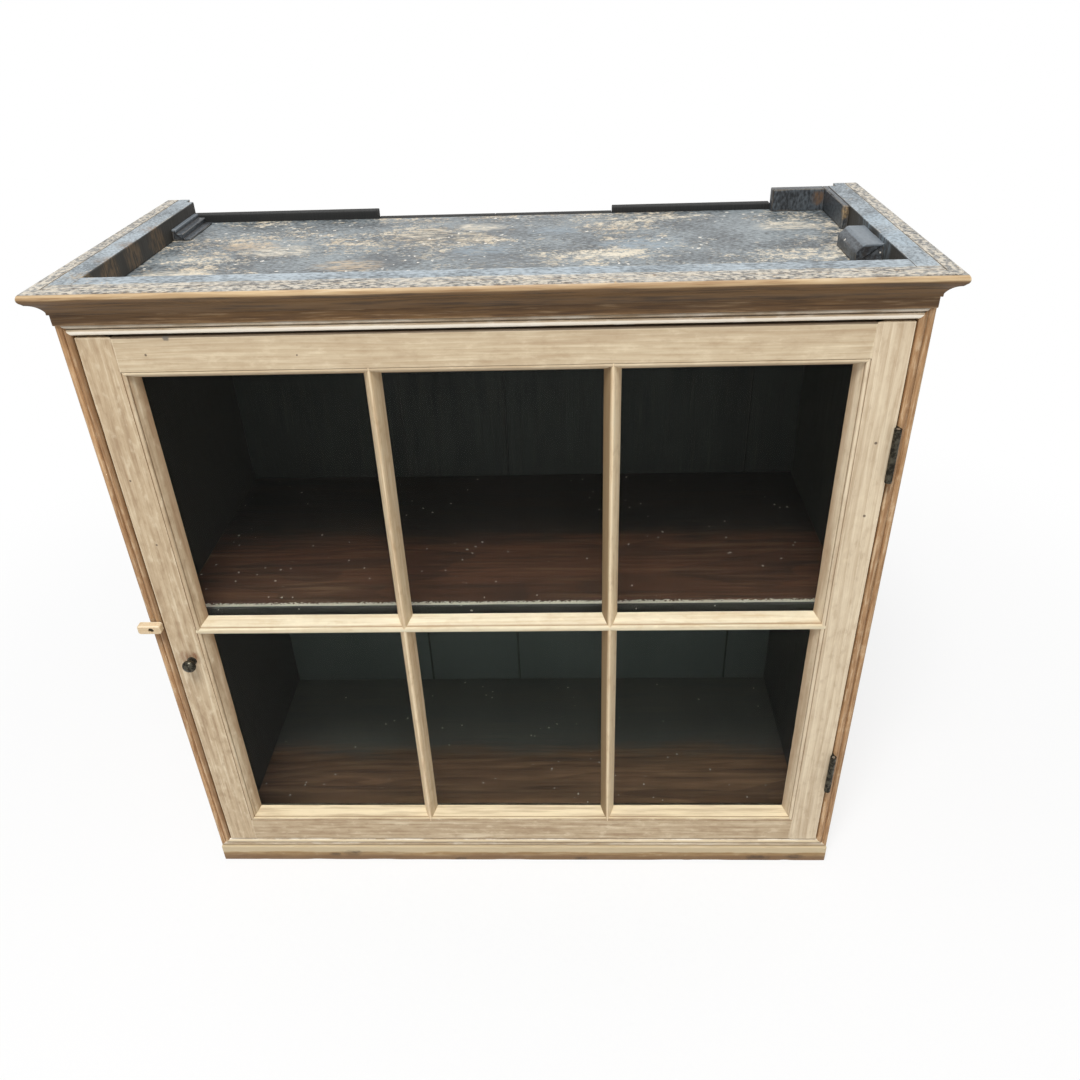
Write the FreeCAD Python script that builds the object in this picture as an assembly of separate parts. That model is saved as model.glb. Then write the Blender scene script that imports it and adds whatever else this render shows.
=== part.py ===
"""Wall cabinet with one glazed door, hinged on the right and kept shut by a wooden turn button.

Millimetres. X runs to the right, Y runs to the back and Z runs up.
The origin lies on the base plane, half way along the width and the depth.
"""
import os

import FreeCAD
import Part

V = FreeCAD.Vector
RIGHT = V(1, 0, 0)
FORWARD = V(0, -1, 0)
UP = V(0, 0, 1)

# Carcass
CARCASS_WIDTH = 880.0
CARCASS_HEIGHT = 857.0
CARCASS_DEPTH = 385.0
SIDE_THICKNESS = 25.0
FACE_THICKNESS = 12.0
RAIL_THICKNESS = 25.5
BOARD_THICKNESS = 18.0
HOUSING_DEPTH = 5.0
TOP_BOARD_DROP = 27.0
BOTTOM_BOARD_LIFT = 9.0
TOP_RAIL_HEIGHT = 59.0
BOTTOM_RAIL_HEIGHT = 54.0
FRIEZE_HEIGHT = 38.0
BASE_BOARD_HEIGHT = 28.5
RAIL_TENON_THICKNESS = 10.0
RAIL_TENON_SETBACK = 8.0
RAIL_TENON_MARGIN = 6.0

# Back boards, listed from the left as (share of the width where it ends, drop below the carcass top)
BACK_THICKNESS = 15.0
BACK_REBATE_WIDTH = 10.0
BACK_PLANKS = ((0.298, 17.0), (0.48, 27.0), (0.662, 27.0), (0.904, 20.0), (1.0, 23.0))

# Shelf, set behind the horizontal glazing bar
SHELF_BELOW_BAR = 6.5
SHELF_THICKNESS = 20.0
SHELF_SETBACK = 32.0
BEARER_WIDTH = 15.0
BEARER_HEIGHT = 18.0
BEARER_FRONT = 45.0
BEARER_BACK_GAP = 5.0

# Bead frame round the door, as (distance from the opening, depth behind the front plane)
BEAD_WIDTH = 16.5
BEAD_RIDGE_WIDTH = 8.0
BEAD_RIDGE_DROP = 3.0
BEAD_QUIRK_WIDTH = 1.2
BEAD_QUIRK_DEPTH = 4.6
BEAD_BAND_CROWN = 2.2
TOP_BEAD_WIDTH = 10.5

# Cornice, as (projection, height below the top)
CORNICE_PROJECTION = 18.0
CORNICE_HEIGHT = 26.0
CORNICE_TOP_EDGE = 14.5
CORNICE_NOSE_DROP = 4.0
CORNICE_NOSE_END = (15.5, 10.0)
CORNICE_STEP = (13.7, 12.0)
CORNICE_COVE_VIA = (6.0, 16.6)
CORNICE_COVE_END = (1.5, 23.0)

# Blocks on the top board
STEPPED_BLOCK_LENGTH = 84.0
STEPPED_BLOCK_BACK_GAP = 7.0
STEPPED_BLOCK_STEPS = ((6.0, 14.0, 3.0), (14.0, 8.5, 3.0), (22.0, 2.4, 1.5))
CHAMFERED_BLOCK_SETBACK = 113.0
CHAMFERED_BLOCK_LENGTH = 77.0
CHAMFERED_BLOCK_WIDTH = 29.0
CHAMFERED_BLOCK_HEIGHT = 22.0
CHAMFER = 9.0
CLEAT_THICKNESS = 7.0
CLEAT_LENGTH = 110.0
CORNER_BLOCK_WIDTH = 66.0
CORNER_BLOCK_THICKNESS = 15.0

# Door
DOOR_THICKNESS = 27.0
DOOR_SIDE_GAP = 2.0
DOOR_END_GAP = 2.5
DOOR_BACK_GAP = 0.5
SASH_FLAT = 37.5
STICKING_WIDTH = 12.5
STICKING_DEPTH = 18.0
STICKING_STEP = 1.2
STICKING_BEAD_WIDTH = 4.5
STICKING_BEAD_CROWN = 0.2
STICKING_BEAD_FOOT = 1.9
STICKING_QUIRK = 3.6
STICKING_FLANK_VIA = (8.9, 10.3)
GLASS_REBATE = 7.0
SASH_TENON_LENGTH = 25.0
SASH_TENON_FRONT = 8.0
SASH_TENON_THICKNESS = 9.0
SASH_TENON_MARGIN = 7.0

# Glazing bars, as half widths at the nose, at the glass and at the tongue
BAR_NOSE_DROP = 0.8
VERTICAL_BAR_SPREAD = 0.338
VERTICAL_BAR = (2.5, 9.5, 2.5)
HORIZONTAL_BAR_RAISE = 0.75
HORIZONTAL_BAR = (3.0, 12.5, 5.5)
GLASS_THICKNESS = 3.0
GLASS_EDGE_GAP = 0.5
PUTTY_AT_GLASS = 4.5
PUTTY_AT_BACK = 0.6

# Butt hinges
HINGE_LENGTH = 63.5
HINGE_TOP_INSET = 113.5
HINGE_BOTTOM_INSET = 103.0
PIN_FORWARD = 4.4
PIN_RADIUS = 2.0
PIN_CLEARANCE = 0.05
KNUCKLE_RADIUS = 4.0
KNUCKLE_COUNT = 3
KNUCKLE_GAP = 0.3
LEAF_THICKNESS = 1.6
LEAF_GAP = 0.4
LEAF_DEPTH = 20.0
LEAF_SCREW_DEPTH = 15.0
LEAF_SCREW_PLACES = (0.14, 0.5, 0.86)

# Screws, drawn with flats where they are tiny
SCREW_CLEARANCE = 0.05
SCREW_FLATS = 8
LEAF_SCREW_HEAD = 2.8
LEAF_SCREW_SHANK = 1.5
LEAF_SCREW_TIP = 0.5
LEAF_SCREW_LENGTH = 12.0
SLOT_WIDTH = 0.8
SLOT_DEPTH = 0.6

# Turn button, level and turned clear of the door, with its screw sunk in it
BUTTON_INSET = 11.0
BUTTON_RAISE = 11.25
BUTTON_WIDTH = 12.5
BUTTON_LONG_ARM = 17.0
BUTTON_SHORT_ARM = 11.5
BUTTON_THICKNESS = 9.5
BUTTON_CORNER = 3.0
BUTTON_EDGE = 1.5
BUTTON_GAP = 0.3
BUTTON_SINK_RADIUS = 3.5
BUTTON_SINK_DEPTH = 4.5
BUTTON_SCREW_HEAD_GAP = 0.3
BUTTON_SCREW_HEAD_HEIGHT = 1.8
BUTTON_SCREW_SHANK = 1.75
BUTTON_SCREW_BITE = 24.0

# Knob, with an outline of (distance from the door, radius) points
KNOB_INSET = 21.5
KNOB_DROP = 44.75
KNOB_OUTLINE = [(0, 6.0), (1.8, 6.0), (1.8, 4.2), (6.0, 4.2), (6.0, 8.5), (12.5, 8.5), (17.0, 4.5)]
KNOB_SCREW_SHANK = 2.0
KNOB_SCREW_BITE = 9.0
KNOB_SCREW_HEAD = 4.2
KNOB_SCREW_HEAD_HEIGHT = 1.8

# How far the middle of a rounded corner lies in from both edges, as a share of its radius
ROUND_MID = 1 - 0.5 ** 0.5

# Places that follow from the sizes above
HALF = CARCASS_WIDTH / 2
INNER = HALF - SIDE_THICKNESS
FRONT = -(CARCASS_DEPTH - CORNICE_PROJECTION) / 2
BACK = FRONT + CARCASS_DEPTH
FACE_BACK = FRONT + FACE_THICKNESS
RAIL_BACK = FACE_BACK + RAIL_THICKNESS
BACK_FACE = BACK - BACK_THICKNESS
OPENING_HALF = HALF - BEAD_WIDTH
OPENING_BOTTOM = BASE_BOARD_HEIGHT + BEAD_WIDTH
FRIEZE_BOTTOM = CARCASS_HEIGHT - FRIEZE_HEIGHT
OPENING_TOP = FRIEZE_BOTTOM - TOP_BEAD_WIDTH
REBATE_BACK = FRONT + DOOR_THICKNESS + DOOR_BACK_GAP
TOP_BOARD_TOP = CARCASS_HEIGHT - TOP_BOARD_DROP
HOUSED = INNER + HOUSING_DEPTH
TOP_RAIL_BOTTOM = CARCASS_HEIGHT - TOP_RAIL_HEIGHT
TOP_TENON_Z = (OPENING_TOP + RAIL_TENON_MARGIN, CARCASS_HEIGHT - RAIL_TENON_MARGIN)
BOTTOM_TENON_Z = (RAIL_TENON_MARGIN, OPENING_BOTTOM - RAIL_TENON_MARGIN)
TOP_BOARD_Z = (TOP_BOARD_TOP - BOARD_THICKNESS, TOP_BOARD_TOP)
BOTTOM_BOARD_Z = (BOTTOM_BOARD_LIFT, BOTTOM_BOARD_LIFT + BOARD_THICKNESS)
DOOR_HALF = OPENING_HALF - DOOR_SIDE_GAP
DOOR_BOTTOM = OPENING_BOTTOM + DOOR_END_GAP
DOOR_TOP = OPENING_TOP - DOOR_END_GAP
DOOR_BACK = FRONT + DOOR_THICKNESS
ARRIS_X = DOOR_HALF - SASH_FLAT
ARRIS_BOTTOM = DOOR_BOTTOM + SASH_FLAT
ARRIS_TOP = DOOR_TOP - SASH_FLAT
DOOR_MIDDLE = (DOOR_BOTTOM + DOOR_TOP) / 2
VERTICAL_BAR_X = (ARRIS_X - STICKING_WIDTH) * VERTICAL_BAR_SPREAD
HORIZONTAL_BAR_Z = DOOR_MIDDLE + HORIZONTAL_BAR_RAISE
SHELF_BOTTOM = HORIZONTAL_BAR_Z - SHELF_BELOW_BAR
GLASS_FRONT = FRONT + STICKING_DEPTH
GLASS_BACK = GLASS_FRONT + GLASS_THICKNESS
REBATE_INSET = STICKING_WIDTH - GLASS_REBATE
PIN_X = OPENING_HALF - DOOR_SIDE_GAP / 2
PIN_Y = FRONT - PIN_FORWARD
FRAME_LEAF = (PIN_X + LEAF_GAP / 2, PIN_X + LEAF_GAP / 2 + LEAF_THICKNESS)
DOOR_LEAF = (PIN_X - LEAF_GAP / 2 - LEAF_THICKNESS, PIN_X - LEAF_GAP / 2)
HINGE_HEIGHTS = (
    ("upper", DOOR_TOP - HINGE_TOP_INSET - HINGE_LENGTH),
    ("lower", DOOR_BOTTOM + HINGE_BOTTOM_INSET),
)
KNOB_X = KNOB_INSET - DOOR_HALF
KNOB_Z = DOOR_MIDDLE - KNOB_DROP
BUTTON_X = -OPENING_HALF - BUTTON_INSET
BUTTON_Z = DOOR_MIDDLE + BUTTON_RAISE
BUTTON_BACK = FRONT - BUTTON_GAP
BUTTON_FRONT = BUTTON_BACK - BUTTON_THICKNESS
BUTTON_UNDER_HEAD = BUTTON_FRONT + BUTTON_SINK_DEPTH - BUTTON_GAP


def box(x, y, z):
    """Return the block that fills three (low, high) ranges."""
    return Part.makeBox(x[1] - x[0], y[1] - y[0], z[1] - z[0], V(x[0], y[0], z[0]))


def outline(points, place):
    """Return a closed flat face; a pair of points in the list is an arc through the first to the second."""
    edges = []
    here = points[0]
    for step in points[1:] + points[:1]:
        if isinstance(step[0], tuple):
            via, end = step
            edges.append(Part.Arc(place(here), place(via), place(end)).toShape())
        else:
            end = step
            edges.append(Part.makeLine(place(here), place(end)))
        here = end
    return Part.Face(Part.Wire(edges))


def plan(points, z):
    """Return a flat prism with an outline of (x, y) points over the height range z."""
    return outline(points, lambda p: V(p[0], p[1], z[0])).extrude(UP * (z[1] - z[0]))


def front_view(points, y):
    """Return a prism with an outline of (x, z) points over the depth range y."""
    return outline(points, lambda p: V(p[0], y[1], p[1])).extrude(FORWARD * (y[1] - y[0]))


def side_view(points, x):
    """Return a prism with an outline of (y, z) points over the width range x."""
    return outline(points, lambda p: V(x[0], p[0], p[1])).extrude(RIGHT * (x[1] - x[0]))


def mirrored(shape):
    """Return the shape reflected from one side of the cabinet to the other."""
    return shape.mirror(V(), RIGHT)


def turned(points, at, direction):
    """Return an outline of (distance, radius) points turned about a line from a point."""
    solid = outline(points, lambda p: V(p[0], p[1], 0)).revolve(V(), RIGHT, 360)
    solid.Placement = FreeCAD.Placement(at, FreeCAD.Rotation(RIGHT, direction))
    return solid


def less(shape, cutters):
    """Return the shape with every cutter taken away."""
    return shape.cut(cutters).removeSplitter()


def scribed(bar, others):
    """Return a bar cut to fit the members it meets, without the crumbs left in their grooves."""
    return max(bar.cut(others).Solids, key=lambda solid: solid.Volume)


def leaf_plate(leaf, low):
    """Return the flat plate of one hinge leaf that starts at a height."""
    return box(leaf, (FRONT, FRONT + LEAF_DEPTH), (low, low + HINGE_LENGTH))


def leaf_screw_spots(leaf, low):
    """Return where the screws of one leaf start and which way they run."""
    outward = leaf == FRAME_LEAF
    face = leaf[0] if outward else leaf[1]
    way = RIGHT if outward else -RIGHT
    heights = [low + share * HINGE_LENGTH for share in LEAF_SCREW_PLACES]
    return [(V(face, FRONT + LEAF_SCREW_DEPTH, height), way) for height in heights]


def leaf_screw(spot, grow):
    """Return one countersunk tapering screw, or with an added radius the hole for it."""
    head = (0, LEAF_SCREW_HEAD)
    neck = (LEAF_THICKNESS, LEAF_SCREW_SHANK)
    tip = (LEAF_SCREW_LENGTH, LEAF_SCREW_TIP)
    rings = []
    for distance, radius in (head, neck, tip):
        first = V(distance, radius + grow, 0)
        turns = [FreeCAD.Rotation(RIGHT, number * 360 / SCREW_FLATS) for number in range(SCREW_FLATS + 1)]
        rings.append(Part.makePolygon([turn.multVec(first) for turn in turns]))
    screw = Part.makeLoft(rings, True, True)
    at, way = spot
    screw.Placement = FreeCAD.Placement(at, FreeCAD.Rotation(RIGHT, way))
    return screw


def leaf_screw_holes(leaf):
    """Return the screw holes of one kind of leaf on both hinges."""
    spots = [spot for _, low in HINGE_HEIGHTS for spot in leaf_screw_spots(leaf, low)]
    return [leaf_screw(spot, SCREW_CLEARANCE) for spot in spots]


def slot_at(at, way):
    """Return the screwdriver slot in a screw head that faces against a direction."""
    reach = KNOB_SCREW_HEAD * 2
    depth = SLOT_DEPTH * 2
    slot = Part.makeBox(depth, SLOT_WIDTH, reach, V(-depth / 2, -SLOT_WIDTH / 2, -reach / 2))
    slot.Placement = FreeCAD.Placement(at, FreeCAD.Rotation(RIGHT, way))
    return slot


def button_screw(grow):
    """Return the shank of the turn button screw, or with an added radius the hole for it."""
    length = FRONT + BUTTON_SCREW_BITE - BUTTON_UNDER_HEAD
    at = V(BUTTON_X, BUTTON_UNDER_HEAD, BUTTON_Z)
    return Part.makeCylinder(BUTTON_SCREW_SHANK + grow, length, at, -FORWARD)


def knob_screw_shank(grow):
    """Return the shank that joins the knob to the door, or with an added radius the hole for it."""
    length = DOOR_THICKNESS + KNOB_SCREW_BITE
    return Part.makeCylinder(KNOB_SCREW_SHANK + grow, length, V(KNOB_X, DOOR_BACK, KNOB_Z), FORWARD)


def rail_tenon(z):
    """Return the stub tenon of a carcass rail on the right, over a height range."""
    front = FACE_BACK + RAIL_TENON_SETBACK
    return box((INNER, HOUSED), (front, front + RAIL_TENON_THICKNESS), z)


def carcass_side():
    """Return the right side with its rebates, board housings and rail mortises."""
    back_step = INNER + BACK_REBATE_WIDTH
    section = [
        (INNER, FACE_BACK), (HALF, FACE_BACK), (HALF, BACK),
        (back_step, BACK), (back_step, BACK_FACE), (INNER, BACK_FACE),
    ]
    side = plan(section, (0, CARCASS_HEIGHT))
    door_rebate = box((INNER, OPENING_HALF), (FACE_BACK, REBATE_BACK), (OPENING_BOTTOM, OPENING_TOP))
    housings = [box((INNER, HOUSED), (RAIL_BACK, BACK_FACE), z) for z in (TOP_BOARD_Z, BOTTOM_BOARD_Z)]
    return less(side, [door_rebate, rail_tenon(TOP_TENON_Z), rail_tenon(BOTTOM_TENON_Z)] + housings)


def carcass_rail(points, tenon_z):
    """Return a rebated rail between the sides with a stub tenon at each end."""
    tenon = rail_tenon(tenon_z)
    return side_view(points, (-INNER, INNER)).fuse([tenon, mirrored(tenon)]).removeSplitter()


def bead_section(place):
    """Return the bead section: a round ridge by the opening, a quirk and a lower band outside it."""
    quirk_end = BEAD_RIDGE_WIDTH + BEAD_QUIRK_WIDTH
    band_mid = (quirk_end + BEAD_WIDTH) / 2
    points = [
        (0, FACE_THICKNESS),
        (0, BEAD_RIDGE_DROP),
        ((BEAD_RIDGE_WIDTH / 2, 0), (BEAD_RIDGE_WIDTH, BEAD_RIDGE_DROP)),
        (BEAD_RIDGE_WIDTH, BEAD_QUIRK_DEPTH),
        (quirk_end, BEAD_QUIRK_DEPTH),
        ((band_mid, BEAD_BAND_CROWN), (BEAD_WIDTH, BEAD_QUIRK_DEPTH)),
        (BEAD_WIDTH, FACE_THICKNESS),
    ]
    return outline(points, place)


def bead_frame():
    """Return the four planted beads, mitred at 45 degrees and cut under the frieze at the top."""
    across = RIGHT * CARCASS_WIDTH
    high = UP * FRIEZE_BOTTOM
    upright = bead_section(lambda p: V(OPENING_HALF + p[0], FRONT + p[1], 0)).extrude(high)
    lower = bead_section(lambda p: V(-HALF, FRONT + p[1], OPENING_BOTTOM - p[0])).extrude(across)
    upper = bead_section(lambda p: V(-HALF, FRONT + p[1], OPENING_TOP + p[0])).extrude(across)
    layer = (FRONT, FACE_BACK)
    top_mitre = OPENING_HALF + TOP_BEAD_WIDTH
    side_mask = front_view([
        (OPENING_HALF, OPENING_BOTTOM), (HALF, BASE_BOARD_HEIGHT), (HALF, FRIEZE_BOTTOM),
        (top_mitre, FRIEZE_BOTTOM), (OPENING_HALF, OPENING_TOP),
    ], layer)
    lower_mask = front_view([
        (-HALF, BASE_BOARD_HEIGHT), (HALF, BASE_BOARD_HEIGHT),
        (OPENING_HALF, OPENING_BOTTOM), (-OPENING_HALF, OPENING_BOTTOM),
    ], layer)
    upper_mask = front_view([
        (-OPENING_HALF, OPENING_TOP), (OPENING_HALF, OPENING_TOP),
        (top_mitre, FRIEZE_BOTTOM), (-top_mitre, FRIEZE_BOTTOM),
    ], layer)
    right = upright.common(side_mask)
    return {
        "bead_left": less(mirrored(right), [button_screw(SCREW_CLEARANCE)]),
        "bead_right": less(right, [leaf_plate(FRAME_LEAF, low) for _, low in HINGE_HEIGHTS]),
        "bead_bottom": lower.common(lower_mask),
        "bead_top": upper.common(upper_mask),
    }


def cornice_section(place):
    """Return the cornice section: a rounded nose over a small step and a cove."""
    points = [
        (0, CORNICE_HEIGHT),
        (0, 0),
        (CORNICE_TOP_EDGE, 0),
        ((CORNICE_PROJECTION, CORNICE_NOSE_DROP), CORNICE_NOSE_END),
        CORNICE_STEP,
        (CORNICE_COVE_VIA, CORNICE_COVE_END),
        (CORNICE_COVE_END[0], CORNICE_HEIGHT),
    ]
    return outline(points, place)


def cornice():
    """Return the front cornice and its two returns, mitred at the front corners."""
    wide = HALF + CORNICE_PROJECTION
    nose = FRONT - CORNICE_PROJECTION
    layer = (CARCASS_HEIGHT - CORNICE_HEIGHT, CARCASS_HEIGHT)
    front_section = cornice_section(lambda p: V(-wide, FRONT - p[0], CARCASS_HEIGHT - p[1]))
    end_section = cornice_section(lambda p: V(HALF + p[0], nose, CARCASS_HEIGHT - p[1]))
    front_mask = plan([(-wide, nose), (wide, nose), (HALF, FRONT), (-HALF, FRONT)], layer)
    end_mask = plan([(HALF, FRONT), (wide, nose), (wide, BACK), (HALF, BACK)], layer)
    right = end_section.extrude(-FORWARD * (BACK - nose)).common(end_mask)
    return {
        "cornice_front": front_section.extrude(RIGHT * wide * 2).common(front_mask),
        "cornice_right": right,
        "cornice_left": mirrored(right),
    }


def carcass():
    """Return the boards, rails, shelf and back of the cabinet."""
    side = carcass_side()
    hinge_cuts = [leaf_plate(FRAME_LEAF, low) for _, low in HINGE_HEIGHTS] + leaf_screw_holes(FRAME_LEAF)
    top_rail = [
        (FACE_BACK, OPENING_TOP), (REBATE_BACK, OPENING_TOP), (REBATE_BACK, TOP_RAIL_BOTTOM),
        (RAIL_BACK, TOP_RAIL_BOTTOM), (RAIL_BACK, CARCASS_HEIGHT), (FACE_BACK, CARCASS_HEIGHT),
    ]
    bottom_rail = [
        (FACE_BACK, 0), (RAIL_BACK, 0), (RAIL_BACK, BOTTOM_RAIL_HEIGHT),
        (REBATE_BACK, BOTTOM_RAIL_HEIGHT), (REBATE_BACK, OPENING_BOTTOM), (FACE_BACK, OPENING_BOTTOM),
    ]
    face = (FRONT, FACE_BACK)
    boards_y = (RAIL_BACK, BACK_FACE)
    shelf_z = (SHELF_BOTTOM, SHELF_BOTTOM + SHELF_THICKNESS)
    bearer_y = (FRONT + BEARER_FRONT, BACK_FACE - BEARER_BACK_GAP)
    bearer = box((INNER - BEARER_WIDTH, INNER), bearer_y, (SHELF_BOTTOM - BEARER_HEIGHT, SHELF_BOTTOM))
    nodes = {
        "left_side": less(mirrored(side), [button_screw(SCREW_CLEARANCE)]),
        "right_side": less(side, hinge_cuts),
        "top_rail": carcass_rail(top_rail, TOP_TENON_Z),
        "bottom_rail": carcass_rail(bottom_rail, BOTTOM_TENON_Z),
        "top_board": box((-HOUSED, HOUSED), boards_y, TOP_BOARD_Z),
        "bottom_board": box((-HOUSED, HOUSED), boards_y, BOTTOM_BOARD_Z),
        "frieze_board": box((-HALF, HALF), face, (FRIEZE_BOTTOM, CARCASS_HEIGHT)),
        "base_board": box((-HALF, HALF), face, (0, BASE_BOARD_HEIGHT)),
        "shelf": box((-INNER, INNER), (FRONT + SHELF_SETBACK, BACK_FACE), shelf_z),
        "shelf_bearer_right": bearer,
        "shelf_bearer_left": mirrored(bearer),
    }
    back_half = INNER + BACK_REBATE_WIDTH
    left = -back_half
    for number, (share, drop) in enumerate(BACK_PLANKS, start=1):
        right = (share * 2 - 1) * back_half
        nodes["back_board_%d" % number] = box((left, right), (BACK_FACE, BACK), (0, CARCASS_HEIGHT - drop))
        left = right
    return nodes


def top_blocks():
    """Return the blocks and the cleat that stand on the top board."""
    stepped = [(-INNER, TOP_BOARD_TOP)]
    inner = 0.0
    for reach, height, radius in STEPPED_BLOCK_STEPS:
        x = reach - INNER
        z = height + TOP_BOARD_TOP
        mid = radius * ROUND_MID
        stepped += [(inner - INNER, z), (x - radius, z), ((x - mid, z - mid), (x, z - radius))]
        inner = reach
    stepped.append((inner - INNER, TOP_BOARD_TOP))
    block_left = INNER - CHAMFERED_BLOCK_WIDTH
    block_top = TOP_BOARD_TOP + CHAMFERED_BLOCK_HEIGHT
    chamfered = [
        (block_left, TOP_BOARD_TOP), (INNER, TOP_BOARD_TOP), (INNER, block_top),
        (block_left + CHAMFER, block_top), (block_left, block_top - CHAMFER),
    ]
    upper = (TOP_BOARD_TOP, CARCASS_HEIGHT)
    cleat_left = INNER - CLEAT_THICKNESS
    corner_y = (BACK_FACE - CORNER_BLOCK_THICKNESS, BACK_FACE)
    stepped_back = BACK_FACE - STEPPED_BLOCK_BACK_GAP
    chamfered_front = FRONT + CHAMFERED_BLOCK_SETBACK
    chamfered_y = (chamfered_front, chamfered_front + CHAMFERED_BLOCK_LENGTH)
    return {
        "stepped_block": front_view(stepped, (stepped_back - STEPPED_BLOCK_LENGTH, stepped_back)),
        "chamfered_block": front_view(chamfered, chamfered_y),
        "side_cleat": box((cleat_left, INNER), (BACK_FACE - CLEAT_LENGTH, BACK_FACE), upper),
        "corner_block": box((cleat_left - CORNER_BLOCK_WIDTH, cleat_left), corner_y, upper),
    }


def sash_section(place):
    """Return the section of a sash member: flat, bead, quirk, curved flank and the rebate for the glass."""
    points = [
        (-SASH_FLAT, 0),
        (0, 0),
        (0, STICKING_STEP),
        ((STICKING_BEAD_WIDTH / 2, STICKING_BEAD_CROWN), (STICKING_BEAD_WIDTH, STICKING_BEAD_FOOT)),
        (STICKING_BEAD_WIDTH, STICKING_QUIRK),
        (STICKING_FLANK_VIA, (STICKING_WIDTH, STICKING_DEPTH)),
        (REBATE_INSET, STICKING_DEPTH),
        (REBATE_INSET, DOOR_THICKNESS),
        (-SASH_FLAT, DOOR_THICKNESS),
    ]
    return outline(points, place)


def bar_section(sizes, place):
    """Return the section of a glazing bar: round nose, sloping flanks and a tongue between the panes."""
    nose, wide, tongue = sizes
    points = [
        (-nose, BAR_NOSE_DROP),
        ((0, 0), (nose, BAR_NOSE_DROP)),
        (wide, STICKING_DEPTH),
        (tongue, STICKING_DEPTH),
        (tongue, DOOR_THICKNESS),
        (-tongue, DOOR_THICKNESS),
        (-tongue, STICKING_DEPTH),
        (-wide, STICKING_DEPTH),
    ]
    return outline(points, place)


def sash():
    """Return the stiles, rails and glazing bars, with every moulded end scribed over the one it meets."""
    tall = UP * (DOOR_TOP - DOOR_BOTTOM)
    wide = RIGHT * DOOR_HALF * 2
    stile = sash_section(lambda p: V(ARRIS_X - p[0], FRONT + p[1], DOOR_BOTTOM)).extrude(tall)
    left_stile = mirrored(stile)
    stiles = [stile, left_stile]
    top_bar = sash_section(lambda p: V(-DOOR_HALF, FRONT + p[1], ARRIS_TOP - p[0])).extrude(wide)
    bottom_bar = sash_section(lambda p: V(-DOOR_HALF, FRONT + p[1], ARRIS_BOTTOM + p[0])).extrude(wide)
    tenon_y = (FRONT + SASH_TENON_FRONT, FRONT + SASH_TENON_FRONT + SASH_TENON_THICKNESS)
    tenon_x = (ARRIS_X - STICKING_WIDTH, ARRIS_X + SASH_TENON_LENGTH)
    tenons = {}
    for name, low in (("top", ARRIS_TOP), ("bottom", DOOR_BOTTOM)):
        tenon = box(tenon_x, tenon_y, (low + SASH_TENON_MARGIN, low + SASH_FLAT - SASH_TENON_MARGIN))
        tenons[name] = [tenon, mirrored(tenon)]
    mortises = tenons["top"] + tenons["bottom"]
    top_rail = scribed(top_bar, stiles).fuse(tenons["top"]).removeSplitter()
    bottom_rail = scribed(bottom_bar, stiles).fuse(tenons["bottom"]).removeSplitter()
    across = bar_section(HORIZONTAL_BAR, lambda p: V(-ARRIS_X, FRONT + p[1], HORIZONTAL_BAR_Z + p[0]))
    horizontal = scribed(across.extrude(RIGHT * ARRIS_X * 2), stiles)
    nose = HORIZONTAL_BAR[0]
    nodes = {
        "door_right_stile": less(stile, mortises + door_hinge_cuts()),
        "door_left_stile": less(left_stile, mortises + [knob_screw_shank(SCREW_CLEARANCE)]),
        "door_top_rail": top_rail,
        "door_bottom_rail": bottom_rail,
        "horizontal_bar": horizontal,
    }
    levels = (
        ("upper", HORIZONTAL_BAR_Z + nose, ARRIS_TOP, top_rail),
        ("lower", ARRIS_BOTTOM, HORIZONTAL_BAR_Z - nose, bottom_rail),
    )
    for level, low, high, rail in levels:
        section = bar_section(VERTICAL_BAR, lambda p: V(VERTICAL_BAR_X + p[0], FRONT + p[1], low))
        bar = scribed(section.extrude(UP * (high - low)), [rail, horizontal])
        nodes["vertical_bar_%s_right" % level] = bar
        nodes["vertical_bar_%s_left" % level] = mirrored(bar)
    return nodes


def door_hinge_cuts():
    """Return what the hinges take out of the right stile."""
    return [leaf_plate(DOOR_LEAF, low) for _, low in HINGE_HEIGHTS] + leaf_screw_holes(DOOR_LEAF)


def rectangle(x, z, y, inset):
    """Return a closed rectangular wire in a plane of constant y, drawn in from two ranges."""
    left, right = x[0] + inset, x[1] - inset
    low, high = z[0] + inset, z[1] - inset
    corners = [V(left, y, low), V(right, y, low), V(right, y, high), V(left, y, high)]
    return Part.makePolygon(corners + corners[:1])


def glazing():
    """Return the six panes and the putty fillets that hold them from behind."""
    edge = ARRIS_X - REBATE_INSET
    tongue = VERTICAL_BAR[2]
    bar_tongue = HORIZONTAL_BAR[2]
    columns = (
        ("left", (-edge, -VERTICAL_BAR_X - tongue)),
        ("middle", (-VERTICAL_BAR_X + tongue, VERTICAL_BAR_X - tongue)),
        ("right", (VERTICAL_BAR_X + tongue, edge)),
    )
    rows = (
        ("upper", (HORIZONTAL_BAR_Z + bar_tongue, ARRIS_TOP - REBATE_INSET)),
        ("lower", (ARRIS_BOTTOM + REBATE_INSET, HORIZONTAL_BAR_Z - bar_tongue)),
    )
    nodes = {}
    fillets = []
    for row, z in rows:
        for column, x in columns:
            pane = Part.Face(rectangle(x, z, GLASS_FRONT, GLASS_EDGE_GAP))
            nodes["pane_%s_%s" % (row, column)] = pane.extrude(-FORWARD * GLASS_THICKNESS)
            hollow = Part.makeLoft([
                rectangle(x, z, GLASS_BACK, PUTTY_AT_GLASS),
                rectangle(x, z, DOOR_BACK, PUTTY_AT_BACK),
            ], True, True)
            fillets.append(box(x, (GLASS_BACK, DOOR_BACK), z).cut(hollow))
    nodes["glazing_putty"] = Part.makeCompound(fillets)
    return nodes


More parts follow.
